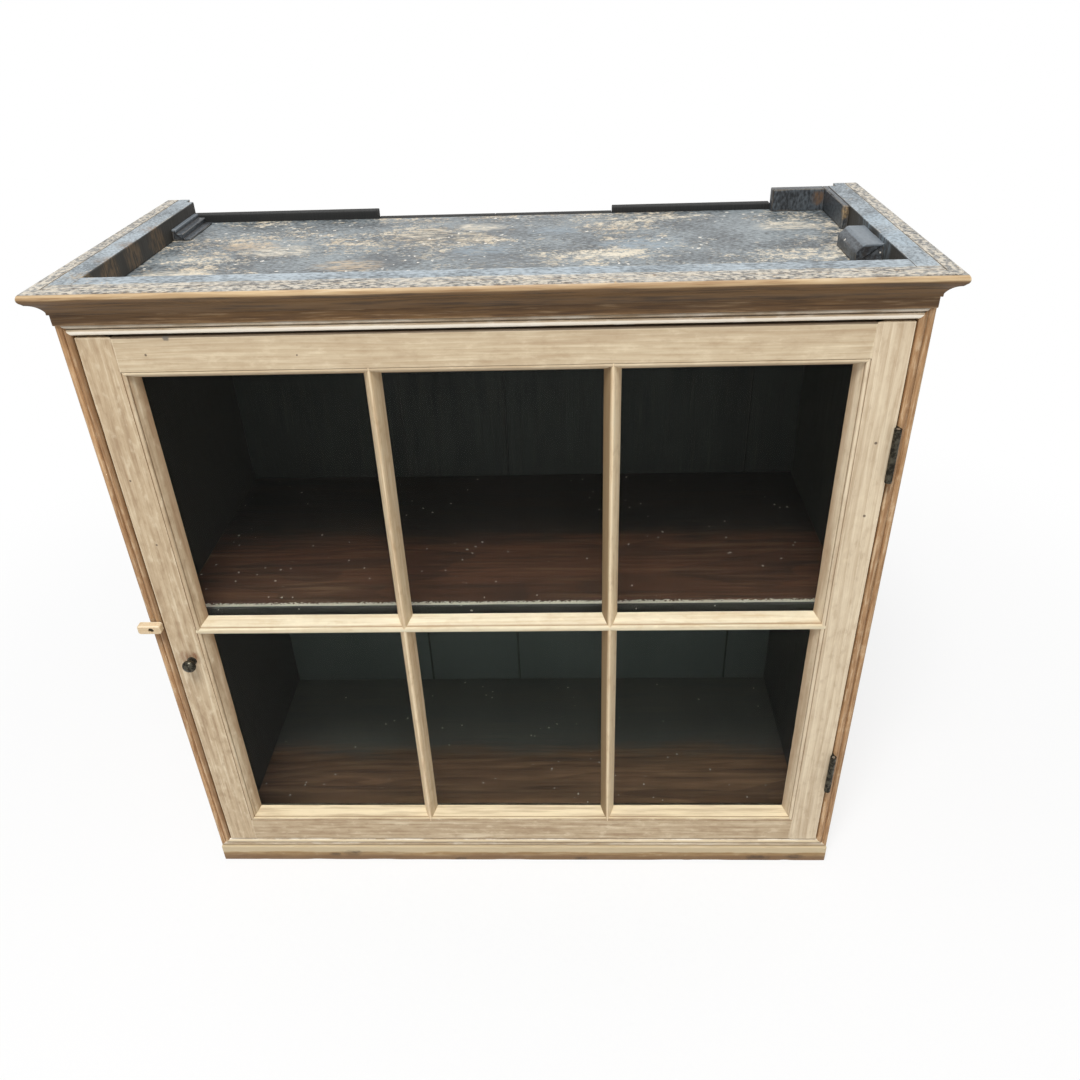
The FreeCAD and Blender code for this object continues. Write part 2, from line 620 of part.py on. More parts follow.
def hinge_leaf(leaf, low, first):
    """Return a leaf with its plate, screw holes and every second knuckle from the first one given."""
    pitch = HINGE_LENGTH / KNUCKLE_COUNT
    pieces = [leaf_plate(leaf, low)]
    for number in range(first, KNUCKLE_COUNT, 2):
        start = low + number * pitch + (KNUCKLE_GAP / 2 if number > 0 else 0)
        end = low + (number + 1) * pitch - (KNUCKLE_GAP / 2 if number < KNUCKLE_COUNT - 1 else 0)
        pieces.append(Part.makeCylinder(KNUCKLE_RADIUS, end - start, V(PIN_X, PIN_Y, start)))
        pieces.append(box(leaf, (PIN_Y, FRONT), (start, end)))
    bore = Part.makeCylinder(PIN_RADIUS + PIN_CLEARANCE, HINGE_LENGTH, V(PIN_X, PIN_Y, low))
    holes = [leaf_screw(spot, SCREW_CLEARANCE) for spot in leaf_screw_spots(leaf, low)]
    return less(pieces[0].fuse(pieces[1:]), [bore] + holes)


def hinges():
    """Return both butt hinges with their pins and screws."""
    nodes = {}
    for name, low in HINGE_HEIGHTS:
        nodes["hinge_frame_leaf_" + name] = hinge_leaf(FRAME_LEAF, low, 0)
        nodes["hinge_door_leaf_" + name] = hinge_leaf(DOOR_LEAF, low, 1)
        nodes["hinge_pin_" + name] = Part.makeCylinder(PIN_RADIUS, HINGE_LENGTH, V(PIN_X, PIN_Y, low))
    for name, leaf in (("hinge_frame_screws", FRAME_LEAF), ("hinge_door_screws", DOOR_LEAF)):
        spots = [spot for _, low in HINGE_HEIGHTS for spot in leaf_screw_spots(leaf, low)]
        nodes[name] = Part.makeCompound([leaf_screw(spot, 0).cut(slot_at(*spot)) for spot in spots])
    return nodes


def slotted_head(radius, height, at, way):
    """Return a slotted round screw head that stands on a point along a direction."""
    return Part.makeCylinder(radius, height, at, way).cut(slot_at(at + way * height, way))


def turn_button():
    """Return the turn button and the screw it turns on."""
    half = BUTTON_WIDTH / 2
    low, high = BUTTON_Z - half, BUTTON_Z + half
    left, right = BUTTON_X - BUTTON_LONG_ARM, BUTTON_X + BUTTON_SHORT_ARM
    inset = BUTTON_CORNER
    mid = BUTTON_CORNER * ROUND_MID
    points = [
        (right - inset, low), ((right - mid, low + mid), (right, low + inset)),
        (right, high - inset), ((right - mid, high - mid), (right - inset, high)),
        (left + inset, high), ((left + mid, high - mid), (left, high - inset)),
        (left, low + inset), ((left + mid, low + mid), (left + inset, low)),
    ]
    block = front_view(points, (BUTTON_FRONT, BUTTON_BACK))
    front_edges = [edge for edge in block.Edges if edge.BoundBox.YMax < BUTTON_FRONT + BUTTON_GAP]
    block = block.makeChamfer(BUTTON_EDGE, front_edges)
    sink_at = V(BUTTON_X, BUTTON_FRONT, BUTTON_Z)
    sink = Part.makeCylinder(BUTTON_SINK_RADIUS, BUTTON_SINK_DEPTH, sink_at, -FORWARD)
    head_at = V(BUTTON_X, BUTTON_UNDER_HEAD, BUTTON_Z)
    head_radius = BUTTON_SINK_RADIUS - BUTTON_SCREW_HEAD_GAP
    head = slotted_head(head_radius, BUTTON_SCREW_HEAD_HEIGHT, head_at, FORWARD)
    return {
        "turn_button": block.cut([sink, button_screw(PIN_CLEARANCE)]),
        "turn_button_screw": button_screw(0).fuse(head).removeSplitter(),
    }


def knob():
    """Return the turned and bored knob and the screw that holds it from the back of the door."""
    bore = KNOB_SCREW_SHANK + SCREW_CLEARANCE
    hollow = [(KNOB_SCREW_BITE, 0), (KNOB_SCREW_BITE, bore), (0, bore)]
    points = hollow + KNOB_OUTLINE + [(KNOB_OUTLINE[-1][0], 0)]
    head = slotted_head(KNOB_SCREW_HEAD, KNOB_SCREW_HEAD_HEIGHT, V(KNOB_X, DOOR_BACK, KNOB_Z), -FORWARD)
    return {
        "knob": turned(points, V(KNOB_X, FRONT, KNOB_Z), FORWARD),
        "knob_screw": knob_screw_shank(0).fuse(head).removeSplitter(),
    }


def export():
    """Build every piece and write each one to its own file."""
    nodes = {}
    for group in (carcass, bead_frame, cornice, top_blocks, sash, glazing, hinges, turn_button, knob):
        nodes.update(group())
    os.makedirs("parts", exist_ok=True)
    for name, shape in nodes.items():
        shape.exportStep("parts/%s.step" % name)


export()
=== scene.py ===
import logging
import math
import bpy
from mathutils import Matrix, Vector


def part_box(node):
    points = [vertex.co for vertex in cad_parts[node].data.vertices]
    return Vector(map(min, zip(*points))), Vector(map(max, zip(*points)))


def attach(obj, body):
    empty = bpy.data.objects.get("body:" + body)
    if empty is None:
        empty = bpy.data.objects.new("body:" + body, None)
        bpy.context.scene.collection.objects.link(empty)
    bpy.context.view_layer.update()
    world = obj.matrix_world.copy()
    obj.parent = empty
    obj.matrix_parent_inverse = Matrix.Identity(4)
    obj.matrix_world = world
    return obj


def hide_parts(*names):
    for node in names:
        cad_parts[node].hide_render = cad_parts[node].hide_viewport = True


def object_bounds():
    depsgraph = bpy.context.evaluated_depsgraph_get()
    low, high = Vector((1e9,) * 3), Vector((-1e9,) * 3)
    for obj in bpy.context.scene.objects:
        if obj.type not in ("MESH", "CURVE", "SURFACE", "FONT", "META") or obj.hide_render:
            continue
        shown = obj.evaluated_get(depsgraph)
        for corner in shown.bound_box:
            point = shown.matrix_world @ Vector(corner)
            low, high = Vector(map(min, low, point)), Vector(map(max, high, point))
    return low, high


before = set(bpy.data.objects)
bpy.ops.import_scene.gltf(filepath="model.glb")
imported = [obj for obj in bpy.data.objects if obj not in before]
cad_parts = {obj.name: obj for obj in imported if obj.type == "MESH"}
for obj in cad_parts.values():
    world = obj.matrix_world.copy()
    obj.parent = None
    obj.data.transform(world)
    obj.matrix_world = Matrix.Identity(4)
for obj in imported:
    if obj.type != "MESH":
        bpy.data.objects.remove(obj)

import zlib
from dataclasses import dataclass, field, replace
from enum import Enum
from typing import Sequence

import bmesh
import bpy
import numpy as np
from mathutils import Matrix, Vector

LOG = logging.getLogger("wall_cabinet")
MM = 0.001
CAD_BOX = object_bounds()
Colour = tuple[float, float, float, float]
Piece = bpy.types.Object
Socket = bpy.types.NodeSocket
Value = Socket | float | Sequence[float]  # a plain value, or the output that feeds it
Sockets = dict[str | int, Value]  # inputs of a node by name or number
Layer = tuple[Socket, Value]  # where a colour lies, and the colour
WELD = 1e-7  # points nearer than this are one
HARD_TURN = 30.0  # an outline turns a corner beyond this many degrees
CRISP_TURN = 35.0  # an edge stays crisp beyond this many degrees
ROUND_SHARE = 0.3  # most of a side's length that a rounding may take
SUPPORTS = (1.6, 1.3)  # support points beside a rounding, in its radii
DENT_LENGTHS = (3, 14)  # shortest and longest dent in millimetres
DENT_POINTS = 2.0  # how many points of an outline a dent spreads over
SWAY_WAVES = (9, 23)  # two slow waves along a member, in radians per metre
TINTS = (0.92, 1.06)  # darkest and brightest piece of one wood
RING_WIDTHS = (0.75, 1.3)  # closest and widest growth rings, in usual ones


def shade(red: int, green: int, blue: int) -> Colour:
    """Turn a colour as seen on a screen, 0 to 255, into linear light.

    Args:
        red: Red part.
        green: Green part.
        blue: Blue part.

    Returns:
        Linear red, green, blue and full opacity.
    """
    seen = np.array((red, green, blue)) / 255
    linear = np.where(seen > 0.04045, ((seen + 0.055) / 1.055) ** 2.4, seen / 12.92)
    return (float(linear[0]), float(linear[1]), float(linear[2]), 1.0)


class Grain(Enum):
    """Which way the fibres of a board run."""

    ACROSS = 0
    BACK = 1
    UP = 2


# Outlines and the surfaces drawn along them

def arc(start: Sequence[float], via: Sequence[float], end: Sequence[float], steps: int) -> np.ndarray:
    """Sample the circle through three points.

    The centre is where the bisectors of both chords meet, and the angle runs evenly from the start to the end.

    Args:
        start: First point.
        via: A point on the way.
        end: Last point.
        steps: Number of stretches.

    Returns:
        Points from start to end, both included.
    """
    a, b, c = (np.array(point, dtype=float) for point in (start, via, end))
    chords = 2 * np.array((b - a, c - a))
    centre = np.linalg.solve(chords, np.array((b @ b - a @ a, c @ c - a @ a)))
    turns = np.unwrap([math.atan2(*(point - centre)[::-1]) for point in (a, b, c)])
    angles = np.linspace(turns[0], turns[2], steps + 1)
    return centre + np.linalg.norm(a - centre) * np.stack((np.cos(angles), np.sin(angles)), axis=1)


def ease(corners: np.ndarray, radius: float, steps: int = 3) -> np.ndarray:
    """Round the sharp corners of a closed outline and leave its curved stretches alone.

    A corner c that turns hard becomes the curve (1-t)^2 a + 2t(1-t) c + t^2 b, where a and b lie a radius away along
    its two sides. Two support points beside each end of the curve keep the flats flat.

    Args:
        corners: Corner points, n by 2.
        radius: How far the rounding reaches along each side.
        steps: Stretches per rounded corner.

    Returns:
        Points n by 3: both coordinates, and 1 on a corner that stands out, -1 on one that lies in, 0 elsewhere.
    """
    back = np.roll(corners, 1, axis=0) - corners
    ahead = np.roll(corners, -1, axis=0) - corners
    back_length = np.linalg.norm(back, axis=1, keepdims=True)
    ahead_length = np.linalg.norm(ahead, axis=1, keepdims=True)
    straight = -np.sum(back * ahead, axis=1, keepdims=True) / (back_length * ahead_length)
    shorter = np.minimum(back_length, ahead_length)
    turns = (straight < math.cos(math.radians(HARD_TURN))) & (shorter > 0.01 * MM)
    reach = np.where(turns, np.minimum(radius, ROUND_SHARE * shorter), 0.0)
    bend = back[:, 1] * ahead[:, 0] - back[:, 0] * ahead[:, 1]
    sides = np.sign(bend * winding(corners))[:, None] * turns
    a = (corners + back / back_length * reach)[:, None]
    b = (corners + ahead / ahead_length * reach)[:, None]
    t = np.linspace(0, 1, steps + 1)[None, :, None]
    curve = (1 - t) ** 2 * a + 2 * t * (1 - t) * corners[:, None] + t ** 2 * b
    away = reach[:, None] * np.array(SUPPORTS)[None, :, None]
    first = corners[:, None] + (back / back_length)[:, None] * away
    last = corners[:, None] + (ahead / ahead_length)[:, None] * away[:, ::-1]
    points = np.concatenate((first, curve, last), axis=1)
    kind = np.repeat(sides, points.shape[1], axis=1)
    kind[:, [0, 1, -2, -1]] = 0
    points = np.concatenate((points, kind[:, :, None]), axis=2).reshape(-1, 3)
    apart = np.linalg.norm(points[:, :2] - np.roll(points[:, :2], 1, axis=0), axis=1) > WELD
    return points[apart]


def winding(outline: np.ndarray) -> float:
    """Return 1 for a closed outline that runs anticlockwise and -1 for one that runs clockwise."""
    ahead = np.roll(outline, -1, axis=0)
    return float(np.sign(np.sum(outline[:, 0] * ahead[:, 1] - outline[:, 1] * ahead[:, 0])))


def inward(outline: np.ndarray) -> np.ndarray:
    """Find the directions that point into a closed outline, square to its chords.

    Args:
        outline: Points of the outline.

    Returns:
        A unit direction for each point.
    """
    along = np.roll(outline, -1, axis=0) - np.roll(outline, 1, axis=0)
    along = along / np.linalg.norm(along, axis=1, keepdims=True)
    return winding(outline) * np.stack((-along[:, 1], along[:, 0]), axis=1)


def close_mesh(
    name: str, points: np.ndarray, faces: list[Sequence[int]], marks: dict[str, np.ndarray],
    sharp: float = CRISP_TURN,
) -> Piece:
    """Make an object from points and faces, with outward faces and sharp edges where it turns hard.

    Args:
        name: Name of the piece.
        points: Points n by 3 in metres.
        faces: Point numbers of each face.
        marks: Values kept on the points, by name.
        sharp: Edges that turn by more degrees than this stay crisp.

    Returns:
        The new object, at the origin.
    """
    mesh = bpy.data.meshes.new(name)
    mesh.from_pydata(points.tolist(), [], faces)
    for label, values in marks.items():
        mesh.attributes.new(label, "FLOAT", "POINT").data.foreach_set("value", values.astype(np.float32))
    edit = bmesh.new()
    edit.from_mesh(mesh)
    bmesh.ops.remove_doubles(edit, verts=edit.verts, dist=WELD)
    bmesh.ops.recalc_face_normals(edit, faces=edit.faces)
    soften(edit, sharp)
    edit.to_mesh(mesh)
    edit.free()
    return shown(name, mesh)


def shown(name: str, data: bpy.types.ID) -> Piece:
    """Show a mesh, a lamp or a camera in the scene.

    Args:
        name: Name of the object.
        data: What it shows.

    Returns:
        The new object.
    """
    item = bpy.data.objects.new(name, data)
    bpy.context.scene.collection.objects.link(item)
    return item


def soften(edit: bmesh.types.BMesh, sharp: float) -> None:
    """Shade an edited mesh smooth except at edges that turn by more than a number of degrees.

    Args:
        edit: The mesh being edited.
        sharp: Largest turn in degrees that is still smooth.
    """
    for face in edit.faces:
        face.smooth = True
    for edge in edit.edges:
        edge.smooth = edge.calc_face_angle(math.pi) < math.radians(sharp)


def chips(seed: int, places: np.ndarray, count: int, depth: float, points: int) -> np.ndarray:
    """Work out small dents along a member as a sum of soft bumps.

    Each bump is depth times exp(-(s - s0)^2 / 2w^2) along the length times the same form over the outline's points,
    with its place, width and depth drawn from a seeded generator.

    Args:
        seed: Seed of the generator.
        places: Distances along the member.
        count: Number of dents.
        depth: Deepest dent.
        points: Number of points in the outline.

    Returns:
        Depths, stations by points.
    """
    random = np.random.default_rng(seed)
    along = random.uniform(places.min(), places.max(), count)
    spread = random.uniform(*DENT_LENGTHS, count) * MM
    where = random.uniform(0, points, count)
    deep = depth * random.uniform(0.15, 1, count) ** 2
    lengthwise = np.exp(-((places[:, None] - along) ** 2) / (2 * spread ** 2))
    crosswise = np.exp(-((np.arange(points)[:, None] - where) ** 2) / (2 * DENT_POINTS ** 2))
    return (lengthwise * deep) @ crosswise.T


@dataclass(frozen=True)
class Member:
    """A length of wood: an outline carried along one axis, with rubbed corners and dents."""

    name: str
    outline: np.ndarray
    grain: Grain
    starts: np.ndarray
    ends: np.ndarray
    axes: tuple[int, int]
    end_ease: float = 0.0
    dents: int = 24
    dent_depth: float = 0.7 * MM
    sway: float = 0.12 * MM
    pitch: float = 8 * MM

    def build(self) -> Piece:
        """Draw the outline at stations along the axis, where point (s, i) is start_i + s (end_i - start_i).

        Every point also moves inwards: by the dents at the corners, by a slow sway along the whole length, and at an
        eased end by r (1 - sin a) at the distance r (1 - cos a) from it.

        Returns:
            The closed piece.
        """
        seed = zlib.crc32(self.name.encode())
        flat, kind = self.outline[:, :2], self.outline[:, 2]
        rubbed, hollow = np.maximum(kind, 0), np.maximum(-kind, 0)
        length = float(np.max(self.ends - self.starts))
        count = max(int(length / self.pitch), 2)
        shares = np.linspace(0, 1, count + 1)
        inset = np.zeros_like(shares)
        if self.end_ease:
            turn = np.radians((0, 0, 30, 60, 90))
            near = self.end_ease * (1 - np.cos(turn)) / length
            drawn = self.end_ease * (1 - np.sin(turn)) * np.array((1.5, 1, 1, 1, 1))
            shares = np.concatenate((near, shares[1:-1], 1 - near[::-1]))
            inset = np.concatenate((drawn, np.zeros(count - 1), drawn[::-1]))
        along = self.starts + shares[:, None] * (self.ends - self.starts)
        depth = rubbed * chips(seed, shares * length, self.dents, self.dent_depth, len(flat))
        phase = np.random.default_rng(seed).uniform(0, 2 * math.pi, 2)
        waves = np.sin(np.outer(shares * length, SWAY_WAVES) + phase).sum(axis=1)
        depth = depth + self.sway * (0.5 + 0.25 * waves)[:, None] + inset[:, None]
        section = flat + depth[:, :, None] * inward(flat)
        points = np.empty(section.shape[:2] + (3,))
        points[:, :, list(self.axes)] = section
        points[:, :, self.grain.value] = along
        marks = {"rubbed": np.tile(rubbed, len(shares)), "hollow": np.tile(hollow, len(shares))}
        return close_mesh(self.name, points.reshape(-1, 3), tube_faces(len(shares), len(flat)), marks)


def tube_faces(rings: int, points: int) -> list[Sequence[int]]:
    """Number the faces of a closed tube of rings with a face over each end.

    Args:
        rings: Number of rings.
        points: Points in a ring.

    Returns:
        The four-sided faces, and the two ends.
    """
    ring = np.arange(rings - 1)[:, None] * points
    here = np.arange(points)[None, :]
    ahead = (here + 1) % points
    sides = np.stack((ring + here, ring + ahead, ring + points + ahead, ring + points + here), axis=2)
    last = (rings - 1) * points
    return sides.reshape(-1, 4).tolist() + [list(range(points))[::-1], list(range(last, last + points))]


def plank(
    name: str, grain: Grain, low: Vector, high: Vector, radius: float, dent_depth: float = 0.7 * MM,
) -> Piece:
    """Make a board that fills a box, with rubbed edges all round.

    Args:
        name: Name of the piece.
        grain: Direction of its length.
        low: Lowest corner.
        high: Highest corner.
        radius: Rounding of the edges.
        dent_depth: Depth of the deepest chip in its edges.

    Returns:
        The board.
    """
    first, second = (axis for axis in range(3) if axis != grain.value)
    corners = np.array((
        (low[first], low[second]), (high[first], low[second]),
        (high[first], high[second]), (low[first], high[second]),
    ))
    outline = ease(corners, radius)
    starts, ends = (np.full(len(outline), corner[grain.value]) for corner in (low, high))
    board = Member(
        name, outline, grain, starts, ends, (first, second), end_ease=radius, dents=60, dent_depth=dent_depth,
        pitch=5 * MM)
    return board.build()


def eased_copy(node: str, name: str, width: float, shortest: float) -> Piece:
    """Copy a solid, join its loose faces and ease its long hard edges.

    Args:
        node: Name of the solid.
        name: Name of the piece.
        width: Width of the eased edge.
        shortest: Hard edges shorter than this stay as they are.

    Returns:
        The copy, with a bevel on its long edges.
    """
    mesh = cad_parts[node].data.copy()
    mesh.materials.clear()
    edit = bmesh.new()
    edit.from_mesh(mesh)
    bmesh.ops.remove_doubles(edit, verts=edit.verts, dist=10 * WELD)
    bmesh.ops.dissolve_limit(edit, angle_limit=math.radians(1), verts=edit.verts, edges=edit.edges)
    soften(edit, CRISP_TURN)
    weight = edit.edges.layers.float.new("bevel_weight_edge")
    for edge in edit.edges:
        edge[weight] = 0.0 if edge.smooth or edge.calc_length() < shortest else 1.0
    edit.to_mesh(mesh)
    edit.free()
    piece = shown(name, mesh)
    bevel = piece.modifiers.new("eased_edges", "BEVEL")
    bevel.limit_method = "WEIGHT"
    bevel.width = width
    bevel.segments = 2
    bevel.harden_normals = True
    return piece


# Effects that the finishes share

class Graph:
    """A node tree with short ways to add nodes and join them."""

    def __init__(self, tree: bpy.types.NodeTree) -> None:
        """Keep the tree that the nodes go into."""
        self.tree = tree

    def add(self, kind: str, sockets: Sockets, **settings: object) -> bpy.types.Node:
        """Add a node.

        Args:
            kind: Type of the node.
            sockets: Its inputs.
            settings: Other properties of the node.

        Returns:
            The node.
        """
        node = self.tree.nodes.new(kind)
        for key, value in settings.items():
            setattr(node, key, value)
        self.feed(node, sockets)
        return node

    def feed(self, node: bpy.types.Node, sockets: Sockets) -> None:
        """Set or join the inputs of a node.

        Args:
            node: The node.
            sockets: Its inputs.
        """
        for key, value in sockets.items():
            if isinstance(value, Socket):
                self.tree.links.new(value, node.inputs[key])
            else:
                node.inputs[key].default_value = value

    def math(self, operation: str, *values: Value) -> Socket:
        """Return one arithmetic step on one to three values."""
        return self.add("ShaderNodeMath", dict(enumerate(values)), operation=operation).outputs[0]

    def vector(self, operation: str, first: Value, second: Value) -> Socket:
        """Return one arithmetic step on two vectors."""
        return self.add("ShaderNodeVectorMath", {0: first, 1: second}, operation=operation).outputs[0]

    def span(self, value: Value, low: Value, high: Value, start: Value = 0.0, end: Value = 1.0) -> Socket:
        """Return a value carried smoothly from one span to another and held at its ends."""
        sockets = {"Value": value, "From Min": low, "From Max": high, "To Min": start, "To Max": end}
        return self.add("ShaderNodeMapRange", sockets, interpolation_type="SMOOTHSTEP").outputs[0]

    def mix(self, share: Value, first: Value, second: Value) -> Socket:
        """Return two colours mixed by a share of the second."""
        return self.add("ShaderNodeMix", {0: share, 6: first, 7: second}, data_type="RGBA").outputs[2]

    def stretched(self, place: Value, along: float, across: float = 1.0) -> Socket:
        """Return a place scaled along its first axis and across it, so that noise there is drawn out."""
        return self.vector("MULTIPLY", place, (along, across, across))

    def noise(self, vector: Value, scale: Value, detail: float = 4.0) -> Socket:
        """Return cloudy noise between 0 and 1."""
        sockets = {"Vector": vector, "Scale": scale, "Detail": detail, "Roughness": 0.6}
        return self.add("ShaderNodeTexNoise", sockets).outputs["Fac"]

    def group(self, tree: bpy.types.NodeTree, sockets: Sockets) -> bpy.types.NodeOutputs:
        """Return the outputs of one of the shared groups, fed with these inputs."""
        return self.add("ShaderNodeGroup", sockets, node_tree=tree).outputs

    def seen(self, *rays: str) -> Socket:
        """Tell which light paths a surface is met by.

        Args:
            rays: Kinds of ray.

        Returns:
            1 where the path is one of these kinds, else 0.
        """
        path = self.add("ShaderNodeLightPath", {}).outputs
        found = path[rays[0]]
        for ray in rays[1:]:
            found = self.math("MAXIMUM", found, path[ray])
        return found


def new_group(
    name: str, inputs: dict[str, str], outputs: Sequence[str],
) -> tuple[Graph, bpy.types.Node, bpy.types.Node]:
    """Start a shared node group with named sockets.

    Args:
        name: Name of the group.
        inputs: Kind of each input socket by its name, Float or Vector.
        outputs: Names of the outputs, all plain values.

    Returns:
        The group's graph, the node its inputs come from and the node its outputs go to.
    """
    tree = bpy.data.node_groups.new(name, "ShaderNodeTree")
    for label, kind in inputs.items():
        tree.interface.new_socket(label, in_out="INPUT", socket_type=f"NodeSocket{kind}")
    for label in outputs:
        tree.interface.new_socket(label, in_out="OUTPUT", socket_type="NodeSocketFloat")
    graph = Graph(tree)
    return graph, graph.add("NodeGroupInput", {}), graph.add("NodeGroupOutput", {})


class Effects:
    """The shared node groups, built once."""

    def __init__(self) -> None:
        """Build every group."""
        self.grain = self._grain()
        self.wear = self._wear()
        self.blotch = self._blotch()
        self.specks = self._specks()
        self.flakes = self._flakes()
        self.soil = self._soil()
        self.spot = self._spot()

    @staticmethod
    def _grain() -> bpy.types.NodeTree:
        """Return pine grain along the first axis.

        Growth rings are bent by slow noise and by knots. Fibres, long stains and bands are noise drawn out along the
        grain to a different degree, and clouds and crumbs are rounder noise.

        Returns:
            The group.
        """
        graph, start, end = new_group(
            "pine_grain", {"Vector": "Vector", "Ring Width": "Float", "Band Scale": "Float"},
            ("Rings", "Fibre", "Knot", "Stains", "Bands", "Clouds", "Crumbs"))
        place = start.outputs["Vector"]
        knots, knot_edge, swirl_reach, swirl_bend, slow_bend = 8.0, (0.02, 0.05), 0.2, 0.006, 0.05
        cell = graph.add("ShaderNodeTexVoronoi", {
            "Vector": graph.stretched(place, 0.42), "Scale": knots, "Randomness": 1.0}).outputs["Distance"]
        swirl = graph.span(cell, 0.0, swirl_reach, swirl_bend, 0.0)
        slow = graph.noise(graph.stretched(place, 1.4, 7.0), 1.0, 2.0)
        bend = graph.math("MULTIPLY_ADD", slow, slow_bend, swirl)
        along, *across = graph.add("ShaderNodeSeparateXYZ", {0: graph.stretched(place, 0.03)}).outputs
        bent = [along] + [graph.math("ADD", part, bend) for part in across]
        wave_length = 2 * math.pi / 20  # of the ring texture at scale 1
        wave = graph.add("ShaderNodeTexWave", {
            "Vector": graph.add("ShaderNodeCombineXYZ", dict(enumerate(bent))).outputs[0],
            "Scale": graph.math("DIVIDE", wave_length, start.outputs["Ring Width"]),
            "Distortion": 0.8, "Detail": 2.0, "Detail Scale": 1.5,
        }, wave_type="RINGS", rings_direction="X", wave_profile="SAW")
        late_wood = graph.math("POWER", wave.outputs["Fac"], 1.8)
        graph.feed(end, {"Rings": late_wood, "Knot": graph.span(cell, *knot_edge, 1.0, 0.0)})
        drawn_out = {
            "Fibre": (0.025, 750.0, 3.0), "Stains": (0.04, 60.0, 3.0),
            "Bands": (0.05, start.outputs["Band Scale"], 5.0),
            "Clouds": (0.5, 110.0, 8.0), "Crumbs": (0.25, 260.0, 8.0)}
        for label, (stretch, scale, detail) in drawn_out.items():
            graph.feed(end, {label: graph.noise(graph.stretched(place, stretch), scale, detail)})
        return graph.tree

    @staticmethod
    def _soil() -> bpy.types.NodeTree:
        """Return a mask that deepens between two places on an axis, for dirt, bleaching, painted shade and painted
        highlights; noise eats into it by up to twice its raggedness.

        Returns:
            The group.
        """
        graph, start, end = new_group("soil", {
            "Vector": "Vector", "Along": "Float", "Clean": "Float", "Dirty": "Float", "Strength": "Float",
            "Scale": "Float", "Ragged": "Float", "Stretch": "Float"}, ("Mask",))
        given = start.outputs
        stretch = graph.add("ShaderNodeCombineXYZ", {0: given["Stretch"], 1: 1.0, 2: 1.0}).outputs[0]
        cloud = graph.noise(graph.vector("MULTIPLY", given["Vector"], stretch), given["Scale"])
        eaten = graph.span(cloud, 0.3, 0.7, graph.math("MULTIPLY", given["Ragged"], -2.0), 0.0)
        depth = graph.span(given["Along"], given["Clean"], given["Dirty"])
        total = graph.math("MULTIPLY_ADD", depth, graph.math("MULTIPLY_ADD", given["Ragged"], 2.0, 1.0), eaten)
        graph.feed(end, {"Mask": graph.span(total, 0.0, 1.0, 0.0, given["Strength"])})
        return graph.tree

    @staticmethod
    def _spot() -> bpy.types.NodeTree:
        """Return a spot: full within a radius that noise makes uneven, gone at 1.6 of it, and broken up by crumbs.

        Returns:
            The group.
        """
        graph, start, end = new_group("spot", {
            "Vector": "Vector", "Centre": "Vector", "Stretch": "Vector", "Radius": "Float", "Strength": "Float",
            "Broken": "Float", "Crumbs": "Float"}, ("Mask",))
        given = start.outputs
        radius = given["Radius"]
        away = graph.add("ShaderNodeVectorMath", {
            0: graph.vector("MULTIPLY", given["Vector"], given["Stretch"]),
            1: graph.vector("MULTIPLY", given["Centre"], given["Stretch"])}, operation="DISTANCE").outputs["Value"]
        uneven = graph.noise(given["Vector"], graph.math("DIVIDE", 1.2, radius))
        edge = graph.math("MULTIPLY_ADD", uneven, radius, away)
        share = graph.span(edge, radius, graph.math("MULTIPLY", radius, 1.6), given["Strength"], 0.0)
        crumbled = graph.span(given["Crumbs"], 0.4, 0.6, graph.math("SUBTRACT", 1.0, given["Broken"]), 1.0)
        graph.feed(end, {"Mask": graph.math("MULTIPLY", share, crumbled)})
        return graph.tree

    @staticmethod
    def _wear() -> bpy.types.NodeTree:
        """Return edge wear: of a point's three distances to the faces of its box, the middle one is small at an edge.

        Returns:
            The group.
        """
        graph, start, end = new_group(
            "edge_wear", {"Vector": "Vector", "Low": "Vector", "High": "Vector", "Width": "Float"}, ("Mask",))
        place = start.outputs["Vector"]
        above = graph.vector("SUBTRACT", place, start.outputs["Low"])
        below = graph.vector("SUBTRACT", start.outputs["High"], place)
        near = graph.add("ShaderNodeSeparateXYZ", {0: graph.vector("MINIMUM", above, below)})
        first, second, third = near.outputs
        smaller, larger = graph.math("MINIMUM", first, second), graph.math("MAXIMUM", first, second)
        middle = graph.math("MAXIMUM", smaller, graph.math("MINIMUM", larger, third))
        rough = graph.span(graph.noise(place, 30.0, 8.0), 0.3, 0.75, 0.15, 1.5)
        width = graph.math("MULTIPLY", start.outputs["Width"], rough)
        graph.feed(end, {"Mask": graph.span(graph.math("DIVIDE", middle, width), 0.25, 1.0, 1.0, 0.0)})
        return graph.tree

    @staticmethod
    def _blotch() -> bpy.types.NodeTree:
        """Return cloudy patches: noise above a level that a wanted cover sets.

        Returns:
            The group.
        """
        graph, start, end = new_group(
            "blotch", {"Vector": "Vector", "Scale": "Float", "Cover": "Float", "Softness": "Float"}, ("Mask",))
        cloud = graph.add("ShaderNodeTexNoise", {
            "Vector": start.outputs["Vector"], "Scale": start.outputs["Scale"], "Detail": 8.0, "Roughness": 0.68})
        middle = graph.span(start.outputs["Cover"], 0.0, 1.0, 0.72, 0.28)
        low, high = (graph.math(step, middle, start.outputs["Softness"]) for step in ("SUBTRACT", "ADD"))
        graph.feed(end, {"Mask": graph.span(cloud.outputs["Fac"], low, high)})
        return graph.tree

    @staticmethod
    def _flakes() -> bpy.types.NodeTree:
        """Return where old paint is left, and where it shows its pale chalky tone, which is partly a painted sheen.

        Paint is left where broad patches, small flakes, fine flakes and scratches along the fibres add up to enough,
        and it is chalky where fine noise and slow noise do.

        Returns:
            The group.
        """
        graph, start, end = new_group("paint_flakes", {"Vector": "Vector", "Cover": "Float"}, ("Mask", "Chalk"))

